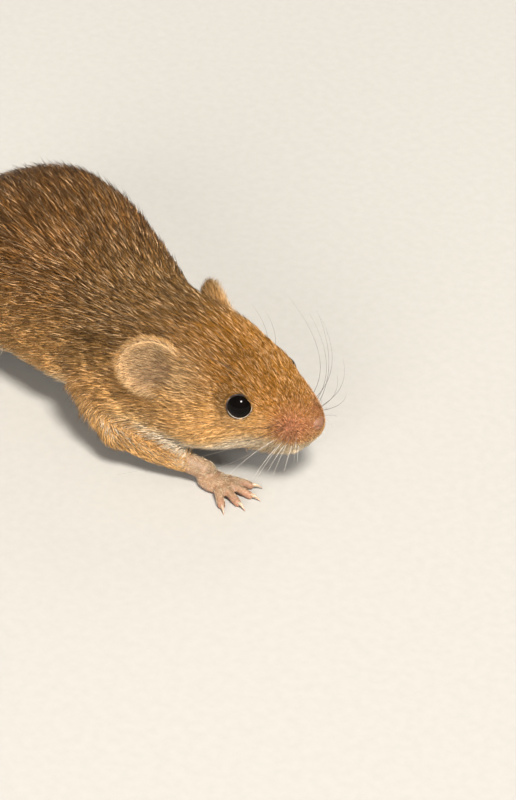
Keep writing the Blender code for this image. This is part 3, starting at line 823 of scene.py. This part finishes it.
def ringMesh(bm, place, radius, thick, squash, inner):
    profile = bmesh.ops.create_circle(bm, segments=12, radius=thick * mm, cap_ends=False)["verts"]
    move = Matrix.Translation((radius * mm, 0, 0)) @ Matrix.Rotation(math.radians(90), 4, "X")
    bmesh.ops.transform(bm, matrix=move @ Matrix.Diagonal((1, squash, 1, 1)), verts=profile)
    bmesh.ops.spin(
        bm, geom=bm.verts[:] + bm.edges[:], cent=(0, 0, 0), axis=(0, 0, 1), angle=2 * math.pi, steps=72,
        use_merge=True
    )
    for v in bm.verts:  # drawn out a little at the inner corner
        v.co.x *= 1 + lid["corner"] * max(0.0, v.co.normalized().x * inner) ** 8
    bmesh.ops.transform(bm, matrix=place, verts=bm.verts[:])


def makeEye(side):
    centre = eyes[side]
    axis = headVector(eye["axis"], sides[side])
    across = Vector((0, 0, 1)).cross(axis).normalized()
    upward = axis.cross(across)
    turn = axesMatrix(across, upward, axis)
    inner = 1 if across.dot(headForward) > 0 else -1
    bm = bmesh.new()
    bmesh.ops.create_uvsphere(bm, u_segments=64, v_segments=40, radius=eye["radius"] * mm)
    bmesh.ops.transform(bm, matrix=Matrix.Translation(centre) @ turn, verts=bm.verts[:])
    newPiece("eyeball_" + side, bmToMesh(bm, "eyeball"), eyeMaterial, "eye", "eye_" + side)

    plane = Matrix.Translation(centre + axis * eye["lidOut"] * mm) @ turn
    bm = bmesh.new()
    ringMesh(bm, plane, eye["opening"] + 0.05, eye["lid"], lid["squash"], inner)
    mesh = bmToMesh(bm, "lid")
    points, _ = meshArrays(mesh)
    up = (points - np.array(centre)) @ np.array(upward) / mm
    pale = ease(0.1, 1.2, up) * ease(0.35, 0.65, patchy(points, 0.30, 31))  # only in places
    setTint(mesh, blend(allOf(lid["dark"], len(up)), np.array(lid["pale"]), pale))
    newPiece("lid_" + side, mesh, lidMaterial, "fur")

    bm = bmesh.new()
    ringMesh(bm, plane, eye["opening"] - 0.03, lid["edge"], 1.0, inner)
    bmesh.ops.translate(bm, verts=bm.verts[:], vec=axis * lid["edgeOut"] * mm)
    mesh = bmToMesh(bm, "lidEdge")
    points, _ = meshArrays(mesh)
    ahead, up = ((points - np.array(centre)) @ np.array((across * inner, upward)).T / mm).T
    # pale below: partly pale skin and partly a painted glint on the wet edge
    pale = ease(-0.3, -1.0, up) * (0.55 + 0.55 * patchy(points, 0.35, 33))
    # a painted highlight at the inner corner
    pale = np.clip(pale + ease(1.15, 1.32, ahead) * (up < 0.2), 0, 1)
    setTint(mesh, blend(allOf(lid["edgeDark"], len(up)), np.array(lid["edgePaleAndGlint"]), pale))
    newPiece("lid_edge_" + side, mesh, lidMaterial, "fur")


for side in sides:
    makeEye(side)
print("eyes made")


# Nose

nose = {  # in mm: the middle of the pad and its half sizes, and the middle of the left nostril
    "place": (0.72, 0.0, 9.62), "size": (0.90, 1.05, 0.82), "nostrilOut": 0.54, "nostrilHeight": 9.52,
    "nostrilDepth": 0.34, "rimHeight": 0.06, "grooveDepth": 0.16,
    # dark is painted shade inside each nostril, where the opening would be
    "colour": (0.22, 0.105, 0.058), "dark": (0.03, 0.012, 0.01),
}


def makeNose():
    bm = bmesh.new()
    bmesh.ops.create_uvsphere(bm, u_segments=96, v_segments=64, radius=1.0)
    turn = axesMatrix(headForward, headLeft, Vector((0, 0, 1)))
    size = Matrix.Diagonal((*(s * mm for s in nose["size"]), 1))
    place = Matrix.Translation(onHead(*nose["place"])) @ turn @ size
    bmesh.ops.transform(bm, matrix=place, verts=bm.verts[:])
    mesh = bmToMesh(bm, "nose")
    points, normals = meshArrays(mesh)
    _, out, _ = onSpine(points)
    height = points[:, 2] / mm
    dent = np.zeros(len(points))
    for sign in sides.values():
        across = out * sign - nose["nostrilOut"]
        level = height - nose["nostrilHeight"] - 0.25 * across
        comma = (np.abs(across) / 0.24) ** 2 + (level / 0.17) ** 2
        dent += nose["nostrilDepth"] * np.exp(-comma) * (out * sign > 0)
        dent -= nose["rimHeight"] * np.exp(-comma / 4.5)
    dent += nose["grooveDepth"] * np.exp(-((out / 0.09) ** 2)) * (1 - ease(9.3, 9.75, height))
    setPoints(mesh, points - normals * (dent * mm)[:, None])
    # painted shade in the nostril dents, for the dark inside the openings
    nostrilShade = np.clip((dent - 0.1) / 0.2, 0, 1)
    setTint(mesh, blend(allOf(nose["colour"], len(points)), np.array(nose["dark"]), nostrilShade))
    newPiece("nose", mesh, noseMaterial, "fur")


makeNose()
print("nose made")


# Coat

tuft = {  # lengths in mm, angles in radians
    "rise": 0.55, "settle": 0.18, "waver": 0.20, "clump": 0.30, "clumpSize": 0.72, "sink": 0.12,
    "shortSink": 0.05, "patch": 0.003,
}
corners = (math.pi * 7 / 6, math.pi * 11 / 6, math.pi / 2)  # of a tuft's three-sided rings


def scatter(mesh, crowdAt):  # random roots on the mesh, crowdAt of them on each mm2
    mesh.calc_loop_triangles()
    triangles = np.empty(len(mesh.loop_triangles) * 3, dtype=int)
    mesh.loop_triangles.foreach_get("vertices", triangles)
    triangles = triangles.reshape(-1, 3)
    points, normals = meshArrays(mesh)
    a, b, c = (points[triangles[:, k]] for k in range(3))
    area = np.linalg.norm(np.cross(b - a, c - a), axis=1) / 2 / mm**2
    wanted = area * crowdAt(points)[triangles].mean(1)
    count = np.floor(wanted + rng.random(len(wanted))).astype(int)
    chosen = np.repeat(np.arange(len(triangles)), count)
    u, v = rng.random((2, len(chosen)))
    flip = u + v > 1
    u, v = np.where(flip, 1 - u, u), np.where(flip, 1 - v, v)
    weights = np.column_stack((1 - u - v, u, v))
    corner = triangles[chosen]
    roots = (points[corner] * weights[:, :, None]).sum(1)
    ways = (normals[corner] * weights[:, :, None]).sum(1)
    ways /= np.linalg.norm(ways, axis=1)[:, None]
    return roots, ways, corner[:, 0]


def unit(v):
    return v / np.maximum(np.linalg.norm(v, axis=1), 1e-9)[:, None]


def eyeClear(points, margin, facing=eye["axis"]):  # true where no hair hides the eye
    clear = np.ones(len(points), dtype=bool)
    for side, sign in sides.items():
        axis = np.array(headVector(facing, sign))
        offset = (points - np.array(eyes[side])) / mm
        out = offset @ axis
        far = np.linalg.norm(offset - out[:, None] * axis, axis=1)
        clear &= ~((far < eye["opening"] + margin) & (out > -0.6) & (out < 40))
    return clear


def drawTogether(roots, middle, tip):  # tips drawn together in small locks
    n = len(roots)
    picked = rng.permutation(n)[:max(1, n // 9)]
    tree = KDTree(len(picked))
    for k, i in enumerate(picked):
        tree.insert(roots[i], k)
    tree.balance()
    nearest = np.array([picked[tree.find(p)[1]] for p in roots])
    apart = np.linalg.norm(roots[nearest] - roots, axis=1) / mm
    close = np.exp(-((apart / tuft["clumpSize"]) ** 2))
    pull = (tuft["clump"] * close * rng.uniform(0.4, 1.2, n))[:, None]
    return middle + (middle[nearest] - middle) * pull * 0.35, tip + (tip[nearest] - tip) * pull


def tuftMesh(name, points, rings):  # points holds each tuft's rings of three, then its tip
    n, size = points.shape[:2]
    faces = [(2, 1, 0)]
    for k in range(rings):
        for i in range(3):
            a, b = 3 * k + i, 3 * k + (i + 1) % 3
            faces.append((a, b, b + 3, a + 3) if k < rings - 1 else (a, b, size - 1))
    loops = np.concatenate(faces)
    starts = np.cumsum([0] + [len(f) for f in faces])[:-1]
    number = np.arange(n)[:, None]
    mesh = bpy.data.meshes.new(name)
    mesh.vertices.add(n * size)
    mesh.vertices.foreach_set("co", points.ravel())
    mesh.loops.add(n * len(loops))
    mesh.loops.foreach_set("vertex_index", (loops[None] + number * size).ravel().astype(np.int32))
    mesh.polygons.add(n * len(faces))
    mesh.polygons.foreach_set("loop_start", (starts[None] + number * len(loops)).ravel().astype(np.int32))
    mesh.polygons.foreach_set("use_smooth", np.ones(n * len(faces), dtype=bool))
    return mesh, loops


def tufts(name, roots, normals, lie, length, width, tint, flatMap, slot, rise, bent=True):
    n = len(roots)
    lie = unit(lie - normals * (lie * normals).sum(1)[:, None])
    side = np.cross(normals, lie)
    waver = rng.normal(0, tuft["waver"], n)[:, None]
    lie = unit(lie + side * waver)
    side = np.cross(normals, lie)
    first = (rise * rng.uniform(0.6, 1.4, n))[:, None]
    second = (rise / tuft["rise"] * tuft["settle"] * rng.uniform(0.0, 2.0, n))[:, None]
    size = (length * rng.uniform(0.72, 1.2, n))[:, None] * mm
    base = roots - normals * (tuft["sink"] if bent else tuft["shortSink"]) * mm
    middle = roots + (lie * np.cos(first) + normals * np.sin(first)) * size * 0.45
    tip = middle + (lie * np.cos(second) + normals * np.sin(second)) * size * 0.55
    if bent:
        middle, tip = drawTogether(roots, middle, tip)
    half = (width * rng.uniform(0.75, 1.25, n))[:, None] * mm / 2
    clear = eyeClear(tip, -0.09) & eyeClear(middle, -0.03)
    base, middle, tip, side, normals, half, tint, flatMap = (
        a[clear] for a in (base, middle, tip, side, normals, half, tint, flatMap)
    )
    rings = [(base, 1.0, 0.0), (middle, 0.85, 0.45)] if bent else [(base, 1.0, 0.0)]
    share = np.repeat([r[2] for r in rings] + [1.0], [3] * len(rings) + [1])
    points = np.empty((len(base), len(share), 3), dtype=np.float32)
    for k, (centre, scale, _) in enumerate(rings):
        for i, turn in enumerate(corners):
            points[:, 3 * k + i] = centre + (side * math.cos(turn) + normals * math.sin(turn)) * half * scale
    points[:, -1] = tip
    points[:, :, 2] = np.maximum(points[:, :, 2], 0.01 * mm)
    mesh, loops = tuftMesh(name, points, len(rings))
    setAlong(mesh, np.tile(share, len(points)))
    setTint(mesh, np.repeat(tint, len(share), axis=0))
    across = np.append(np.tile((0.0, 0.5, 1.0), len(rings)), 0.5)
    corner = np.column_stack((across, share))[loops] * tuft["patch"]
    layer = mesh.uv_layers.new(name="OFBake")
    flatPlaces = np.clip(flatMap, 0, 1 - tuft["patch"])[:, None] + corner[None]
    layer.data.foreach_set("uv", flatPlaces.astype(np.float32).ravel())
    mesh.update()
    mesh.validate()
    return newPiece(name, mesh, hairMaterial, slot)


def varied(colour):  # each tuft a little lighter or darker, some pale and some dark
    n = len(colour)
    bright = np.exp(rng.normal(0, 0.28, n))
    kind = rng.random(n)
    bright = np.where(kind < 0.22, bright * 1.5, bright)
    bright = np.where(kind > 0.80, bright * 0.42, bright)
    pale = np.where(kind < 0.22, 0.30, 0.0)
    colour = blend(colour, paint["paleHair"], pale)
    colour = colour * bright[:, None]
    return colour / np.maximum(colour.max(1), 1.0)[:, None]


def bodyLie(points, way):  # fanning out from the whisker pads, then backwards and down the flanks
    back, _, _ = onSpine(points)
    height = points[:, 2] / mm
    fan = np.zeros(points.shape)
    for place in padPlaces.values():
        offset = (points - np.array(place)) / mm
        far = np.linalg.norm(offset, axis=1)
        fan += unit(offset) * (np.exp(-((far / 6.5) ** 2)) + 1e-4)[:, None]
    backward = -way.copy()
    backward[:, 2] -= 0.35 * ease(12, 24, back) * (1 - ease(17, 20, height))
    lie = blend(unit(fan), backward, ease(9, 25, back))
    for place in eyes.values():
        near = ball(points, place, 2.3)
        lie += unit(points - np.array(place)) * (0.45 * near)[:, None]
    lie += unit(tailLine[0] - points) * (0.8 * ease(50, 60, back))[:, None]
    return unit(lie)


def legLie(points, leg, backward):  # back and down on the upper leg, then along the lower one
    bend, end = (np.array(p) * mm for p in legEnds[leg][1:])
    lower = end - bend
    share = ((points - bend) @ lower) / (lower @ lower)
    upperWay = unit(backward * 0.5 + np.array((0, 0, -1.0)))
    return unit(blend(upperWay, lower / np.linalg.norm(lower), ease(-0.7, 0.6, share)))


def bodyMap(points):  # an unwrap along and round the body
    back, out, _ = onSpine(points)
    middle = atBack(bodyUnder, back) * 0.55 + atBack(bodyTop, back) * 0.45
    return back, np.arctan2(points[:, 2] / mm - middle, out) / (2 * math.pi) + 0.5


def noseClear(points):  # false on the bare pad of the nose
    turn = np.array((headForward, headLeft, Vector((0, 0, 1))))
    local = ((points - np.array(onHead(*nose["place"]))) @ turn.T) / mm
    return ((local / (np.array(nose["size"]) * 0.94)) ** 2).sum(1) > 1


def earClear(points):  # false inside the cups of the ears
    clear = np.ones(len(points), dtype=bool)
    for sign in sides.values():
        a, f, u = inEar(points, sign).T
        inside = (a / (ear["width"] - 0.15)) ** 2 + (u / (ear["height"] - 0.15)) ** 2 < 1
        clear &= ~(inside & (f > -ear["depth"]) & (f < 2.5))
    return clear


guardHair = {"share": 0.06, "from": 14, "length": 1.4, "rise": 0.9, "shade": 0.5}  # long and dark
fineHair = {"from": (8, 20), "share": (0.7, 0.5), "width": 0.8, "length": 0.85}  # straight and short
lipHair = {"length": 0.8, "rise": 0.25, "pale": 0.75}  # the fringe over the mouth
bodyBounds = (18, 27, 35, 43, 51, 70)  # mm back, where the pieces of the coat meet


def legColour(points, normals, out):  # like the flank outside, and cream inside
    outward = normals[:, 2] * 0.6 + out / 12 * normals[:, 1] * 0.8
    top = blend((paint["side"] * 0.82)[None], paint["back"] * 1.1, ease(5, 14, points[:, 2] / mm))
    inner = (paint["belly"] + paint["lowSide"]) * 0.45
    return blend(inner[None], top, ease(-0.65, -0.15, outward))


def lipShare(points, back):
    height = points[:, 2] / mm
    return ease(5.7, 6.4, height) * (1 - ease(6.7, 7.6, height)) * (1 - ease(3.4, 5.4, back))


def coatGroups(region, back, out, fine):
    parts = {"head": (region == 0) & (back < bodyBounds[0]), "legs": region > 0}
    for k, (a, b) in enumerate(zip(bodyBounds, bodyBounds[1:]), start=1):
        parts[f"body_{k}"] = (region == 0) & (back >= a) & (back < b)
    return {
        f"{part}_{side}{kind}": pick & ((out >= 0) == (sign > 0)) & (fine == (kind == "_fine"))
        for part, pick in parts.items() for side, sign in sides.items() for kind in ("", "_fine")
    }


def growCoat():
    roots, normals, corner = scatter(skinMesh, lambda p: coatAt(p, skinRegion, "crowd"))
    keep = eyeClear(roots, 0.0) & noseClear(roots) & earClear(roots)
    roots, normals = roots[keep], normals[keep]
    region, toNext = skinRegion[corner][keep], skinNext[corner][keep]
    back, out, way = onSpine(roots)
    length, width = (coatAt(roots, region, key) for key in ("length", "width"))
    lie = bodyLie(roots, way)
    for k, leg in enumerate(legEnds, start=1):
        onLeg = region == k
        legWay = legLie(roots[onLeg], leg, -way[onLeg])
        lie[onLeg] = unit(blend(lie[onLeg], legWay, ease(0.1, 2.2, toNext[onLeg])))
        gap = np.linalg.norm(roots - np.array(legEnds[leg][1]) * mm, axis=1) / mm
        length *= 1 - 0.35 * onLeg * (1 - ease(1.5, 4.5, gap))
    rise = tuft["rise"] + 0.30 * (1 - ease(2.0, 6.5, back)) - 0.24 * ease(14, 24, back)
    guard = rng.random(len(roots)) < guardHair["share"]
    guard &= (back > guardHair["from"]) & (normals[:, 2] > -0.2)
    length[guard] *= guardHair["length"]
    rise[guard] *= guardHair["rise"]
    lip = lipShare(roots, back) * (region == 0)
    outWay = np.cross((0, 0, 1), way) * np.sign(out)[:, None]
    lipWay = unit(way * 0.30 + outWay * 0.35 - np.array((0, 0, 1.0)))
    lie = unit(blend(lie, lipWay, lip))
    length *= 1 + lipHair["length"] * lip
    rise += lipHair["rise"] * lip
    noseGap = np.linalg.norm(roots - np.array(onHead(*nose["place"])), axis=1) / mm
    length *= 0.55 + 0.45 * ease(0.9, 2.2, noseGap)
    colour = blend(markingAt(roots), paint["lip"], lip * lipHair["pale"])
    tint = varied(np.where((region > 0)[:, None], legColour(roots, normals, out), colour))
    tint[guard] *= guardHair["shade"]
    fine = (rng.random(len(roots)) < np.interp(back, fineHair["from"], fineHair["share"])) & ~guard
    width[fine] *= fineHair["width"]
    length[fine] *= fineHair["length"]
    maps = bodyMap(roots)
    total = 0
    for name, pick in coatGroups(region, back, out, fine).items():
        if not pick.any():
            continue
        flatMap = np.column_stack([(m[pick] - m[pick].min()) / np.ptp(m[pick]) for m in maps])
        if name.startswith("legs"):
            flatMap[:, 0] = (region[pick] - 1 + flatMap[:, 0] * 0.98) / len(legEnds)
        tufts(
            "coat_" + name, roots[pick], normals[pick], lie[pick], length[pick], width[pick],
            tint[pick], flatMap, "fur", rise[pick], not name.endswith("_fine")
        )
        print("coat", name, pick.sum(), "tufts")
        total += pick.sum()
    print("coat in all", total, "tufts")


growCoat()


# Short hair on the ears, paws and tail

def flatUnwrap(points, normals):  # seen from above, with the underside beside it
    low, high = points.min(0), points.max(0)
    place = (points[:, :2] - low[:2]) / (high[:2] - low[:2]).max() * 0.48
    place[:, 0] += np.where(normals[:, 2] < 0, 0.5, 0.0)
    return place


down = {
    "ear": {"crowd": 120, "length": 1.15, "width": 0.05, "rise": 0.34},
    "paw": {"crowd": 80, "length": 0.55, "width": 0.032, "rise": 0.18},
    "tail": {"crowd": 34, "length": 0.70, "width": 0.035, "rise": 0.16},
}


def growDown(name, mesh, kind, slot, lieAt, colourAt, keepAt=None, riseAt=None):
    size = down[kind]
    roots, normals, _ = scatter(mesh, lambda p: np.full(len(p), float(size["crowd"])))
    if keepAt:
        keep = keepAt(roots, normals)
        roots, normals = roots[keep], normals[keep]
    length, width, rise = (np.full(len(roots), size[key]) for key in ("length", "width", "rise"))
    if riseAt:
        rise += riseAt(roots, normals)
    tufts(
        name, roots, normals, lieAt(roots, normals), length, width,
        varied(colourAt(roots, normals)), flatUnwrap(roots, normals), slot, rise, False
    )


def growEarDown(side):
    mesh, centre, up, facing = earParts[side]
    root = np.array(centre - up * ear["height"] * mm)
    inside = np.array(facing)

    def lieAt(points, normals):
        return unit(points - root) + inside * 0.25

    def riseAt(points, normals):
        return 0.75 * np.clip((normals * unit(points - root)).sum(1), 0, 1) ** 2

    def colourAt(points, normals):
        a, _, u = inEar(points, sides[side]).T
        # painted shade: the hair darker deep in the cup, lighter towards the rim
        toRim = ease(0.45, 0.98, np.hypot(a / ear["width"], u / ear["height"]))
        inner = paint["earHair"] * (0.62 + 0.55 * toRim)[:, None]
        return blend((paint["nape"] * 1.5)[None], inner, ease(-0.1, 0.3, normals @ inside))

    growDown("coat_ear_" + side, mesh, "ear", "ear_skin", lieAt, colourAt, riseAt=riseAt)


def growPawDown(node, paw):
    way = np.array(flat(paw["turn"]))
    front = np.array((*paw["knuckles"], 0.5)) * mm
    bend, wrist = (np.array(p) * mm for p in legEnds[paw["leg"]][1:])
    leg = (bend - wrist) / np.linalg.norm(bend - wrist)

    def lieAt(points, normals):
        fan = points - (front - way * 5 * mm)
        fan[:, 2] *= 0.3
        return unit(fan)

    def keepAt(points, normals):
        share = 1 - 0.85 * ease(0.3, 2.6, aheadOf(points, paw))
        above = (points - wrist) @ leg / mm
        aside = np.linalg.norm(points - wrist - above[:, None] * leg * mm, axis=1) / mm
        covered = (above > 1.3) & (aside < 1.5)
        return (normals[:, 2] > -0.2) & (rng.random(len(points)) < share) & ~covered

    def colourAt(points, normals):
        return allOf(paint["lip"] * 0.62, len(points))

    growDown("coat_" + node, pawMeshes[node], "paw", "foot_skin", lieAt, colourAt, keepAt)


def growTailDown():
    way = np.gradient(tailLine, axis=0)

    def lieAt(points, normals):
        return unit(way[nearestOn(tailLine, points)])

    def keepAt(points, normals):
        return points[:, 2] > 0.15 * mm

    def colourAt(points, normals):
        return blend(paint["tailUnder"][None], paint["tailTop"] * 0.6, ease(-0.3, 0.3, normals[:, 2]))

    growDown("coat_tail", tailMesh, "tail", "tail_skin", lieAt, colourAt, keepAt)


for side in sides:
    growEarDown(side)
for node, paw in paws.items():
    growPawDown(node, paw)
growTailDown()
print("short hair grown")


# Whiskers

whisker = {  # in mm
    "inRow": 4, "root": 0.025, "tip": 0.004, "points": 14, "facets": 5, "bow": 0.55, "browLength": 4.2,
    "seenFrom": (0.47, 0.67, 0.57),  # none crosses the eye from there
    "dark": (0.05, 0.032, 0.022), "toPale": (0.88, 0.84, 0.76),
}
whiskerRows = (  # from the top row down: share of the length, paleness, and the way they bend
    (1.0, 0.0, (-0.9, -0.25, 0.15)),
    (1.0, 0.0, (-0.9, -0.25, 0.15)),
    (0.8, 0.12, (-0.9, -0.3, -0.5)),
    (0.42, 0.65, (-0.35, -0.5, -1.0)),
    (0.26, 0.9, (-0.35, -0.5, -1.0)),
)


def whiskerPath(root, way, bend, length):
    share = np.linspace(0, 1, whisker["points"])[:, None]
    path = np.array(root) + (np.array(way) * share + np.array(bend) * whisker["bow"] * share**2) * length * mm
    path[:, 2] = np.maximum(path[:, 2], 0.3 * mm)
    return path


def clearPath(root, aim, step, bend, length, sign):  # turned by small steps until it crosses no eye
    for _ in range(16):
        path = whiskerPath(root, headVector(aim, sign), bend, length)
        if (eyeClear(path, 0.3) & eyeClear(path, 0.5, whisker["seenFrom"])).all():
            break
        aim = aim + step
    return path


def whiskerPaths():
    points, _ = meshArrays(skinMesh)
    faces = [tuple(p.vertices) for p in skinMesh.polygons]
    surface = BVHTree.FromPolygons([Vector(p) for p in points], faces)
    paths, shades = [], []
    for sign in sides.values():
        for row, (share, shade, bend) in enumerate(whiskerRows):
            for k in range(whisker["inRow"]):
                back = 1.35 + 0.60 * k + 0.12 * (row % 2) + rng.normal(0, 0.05)
                height = 10.1 - 0.62 * row + rng.normal(0, 0.05)
                place, out, _, _ = surface.ray_cast(onHead(back, sign * 7, height), headLeft * -sign)
                if place is None:
                    continue
                length = (6.0 + 3.4 * k) * share * rng.uniform(0.85, 1.12)
                aim = Vector((0.55 - 0.42 * k, 1.0, 0.55 - 0.36 * row)) + Vector(rng.normal(0, 0.09, 3))
                step = Vector((0.15, -0.10, 0.35) if row < 1 and k < 2 else (0.15, 0.25, -0.30))
                root = place - out * 0.1 * mm
                paths.append(clearPath(root, aim, step, headVector(bend, sign), length, sign))
                shades.append(shade)
        for k in range(2):  # over the brow
            place, out, _, _ = surface.ray_cast(onHead(8.0 + 0.9 * k, sign * 3.2, 20), Vector((0, 0, -1)))
            way = headVector((-0.15 - 0.2 * k, 0.55, 0.9), sign)
            bend = headVector((-1, 0, -0.3), sign)
            paths.append(whiskerPath(place - out * 0.1 * mm, way, bend, whisker["browLength"]))
            shades.append(0.06)
    return np.array(paths), np.array(shades)


def makeWhiskers():
    paths, shades = whiskerPaths()
    n, k = paths.shape[:2]
    facets = whisker["facets"]
    way = np.gradient(paths, axis=1)
    way /= np.linalg.norm(way, axis=2)[:, :, None]
    first = np.cross(way, (0, 0, 1.0))
    first /= np.linalg.norm(first, axis=2)[:, :, None]
    second = np.cross(way, first)
    share = np.linspace(0, 1, k)
    radius = whisker["root"] + (whisker["tip"] - whisker["root"]) * share**0.8
    turn = np.arange(facets) * 2 * math.pi / facets
    ring = first[:, :, None] * np.cos(turn)[:, None] + second[:, :, None] * np.sin(turn)[:, None]
    points = paths[:, :, None] + ring * (radius * mm)[None, :, None, None]
    faces = [tuple(reversed(range(facets))), tuple(range((k - 1) * facets, k * facets))]
    for j in range(k - 1):
        for i in range(facets):
            a, b = j * facets + i, j * facets + (i + 1) % facets
            faces.append((a, b, b + facets, a + facets))
    size = k * facets
    allFaces = [tuple(v + s * size for v in face) for s in range(n) for face in faces]
    mesh = bpy.data.meshes.new("whiskers")
    mesh.from_pydata(points.reshape(-1, 3).tolist(), [], allFaces)
    mesh.shade_smooth()
    setAlong(mesh, np.tile(np.repeat(0.5 + 0.5 * share, facets), n))
    shade = np.repeat(shades, size)[:, None]
    setTint(mesh, np.array(whisker["dark"]) + shade * np.array(whisker["toPale"]))
    piece = newPiece("whiskers", mesh, hairMaterial, "fur")
    piece.visible_glossy = False  # they would draw lines across the eyes
    print("whiskers", n)


makeWhiskers()


# Floor, light and camera

def makeFloor():
    bm = bmesh.new()
    bmesh.ops.create_grid(bm, x_segments=2, y_segments=2, size=6)
    mesh = bmToMesh(bm, "floor")
    floor = bpy.data.objects.new("floor", mesh)
    scene.collection.objects.link(floor)
    mesh.materials.append(floorFinish())


view = {"azimuth": 55, "elevation": 35, "distance": 0.35, "pixelsPerMm": 9.5, "nosePixel": (322, 425)}
picture = {"width": 516, "height": 800, "sensor": 36.0}
lights = {  # metres from the animal: towards the camera, up, and to the right as it sees them
    "key": {"place": (2.0, 0.75, 0.35), "size": 0.5, "power": 92, "colour": (1, 0.96, 0.90)},
    "fill": {"place": (2.0, -0.5, -0.7), "size": 1.2, "power": 40, "colour": (1, 0.97, 0.94)},
    "rim": {"place": (-0.6, 1.8, 0.9), "size": 1.0, "power": 6, "colour": (1, 1, 1)},
}
room = {"Color": (0.86, 0.87, 0.88, 1), "Strength": 0.34}


def viewAxes():  # towards the camera, up and right
    turn, lift = math.radians(view["azimuth"]), math.radians(view["elevation"])
    away = Vector((math.sin(turn) * math.cos(lift), -math.cos(turn) * math.cos(lift), math.sin(lift)))
    right = Vector((math.cos(turn), math.sin(turn), 0))
    return away, away.cross(right), right


def addLight(name, centre, axes, place, size, power, colour):
    light = bpy.data.lights.new(name, "AREA")
    light.shape = "DISK"
    light.size = size
    light.energy = power
    light.color = colour
    lamp = bpy.data.objects.new(name, light)
    scene.collection.objects.link(lamp)
    lamp.visible_glossy = name == "key"  # only this one shines in the eyes
    offset = sum((axis * far for axis, far in zip(axes, place)), Vector())
    lamp.location = centre + offset
    lamp.rotation_euler = offset.to_track_quat("Z", "Y").to_euler()


def makeView():
    away, up, right = axes = viewAxes()
    noseTip = onHead(-0.2, 0, 9.6)
    ahead = (picture["width"] / 2 - view["nosePixel"][0]) / view["pixelsPerMm"] * mm
    below = (picture["height"] / 2 - view["nosePixel"][1]) / view["pixelsPerMm"] * mm
    centre = noseTip + right * ahead - up * below
    camera = bpy.data.cameras.new("camera")
    camera.sensor_width = picture["sensor"]
    camera.lens = picture["sensor"] * view["distance"] * view["pixelsPerMm"] / (picture["height"] * mm)
    camera.clip_start = 0.01
    holder = bpy.data.objects.new("camera", camera)
    scene.collection.objects.link(holder)
    holder.location = centre + away * view["distance"]
    holder.rotation_euler = away.to_track_quat("Z", "Y").to_euler()
    scene.camera = holder
    for name, values in lights.items():
        addLight(name, centre, axes, **values)
    world = bpy.data.worlds.new("room")
    scene.world = world
    world.use_nodes = True
    for key, value in room.items():
        world.node_tree.nodes["Background"].inputs[key].default_value = value


makeFloor()
makeView()
scene.view_settings.view_transform = "Standard"
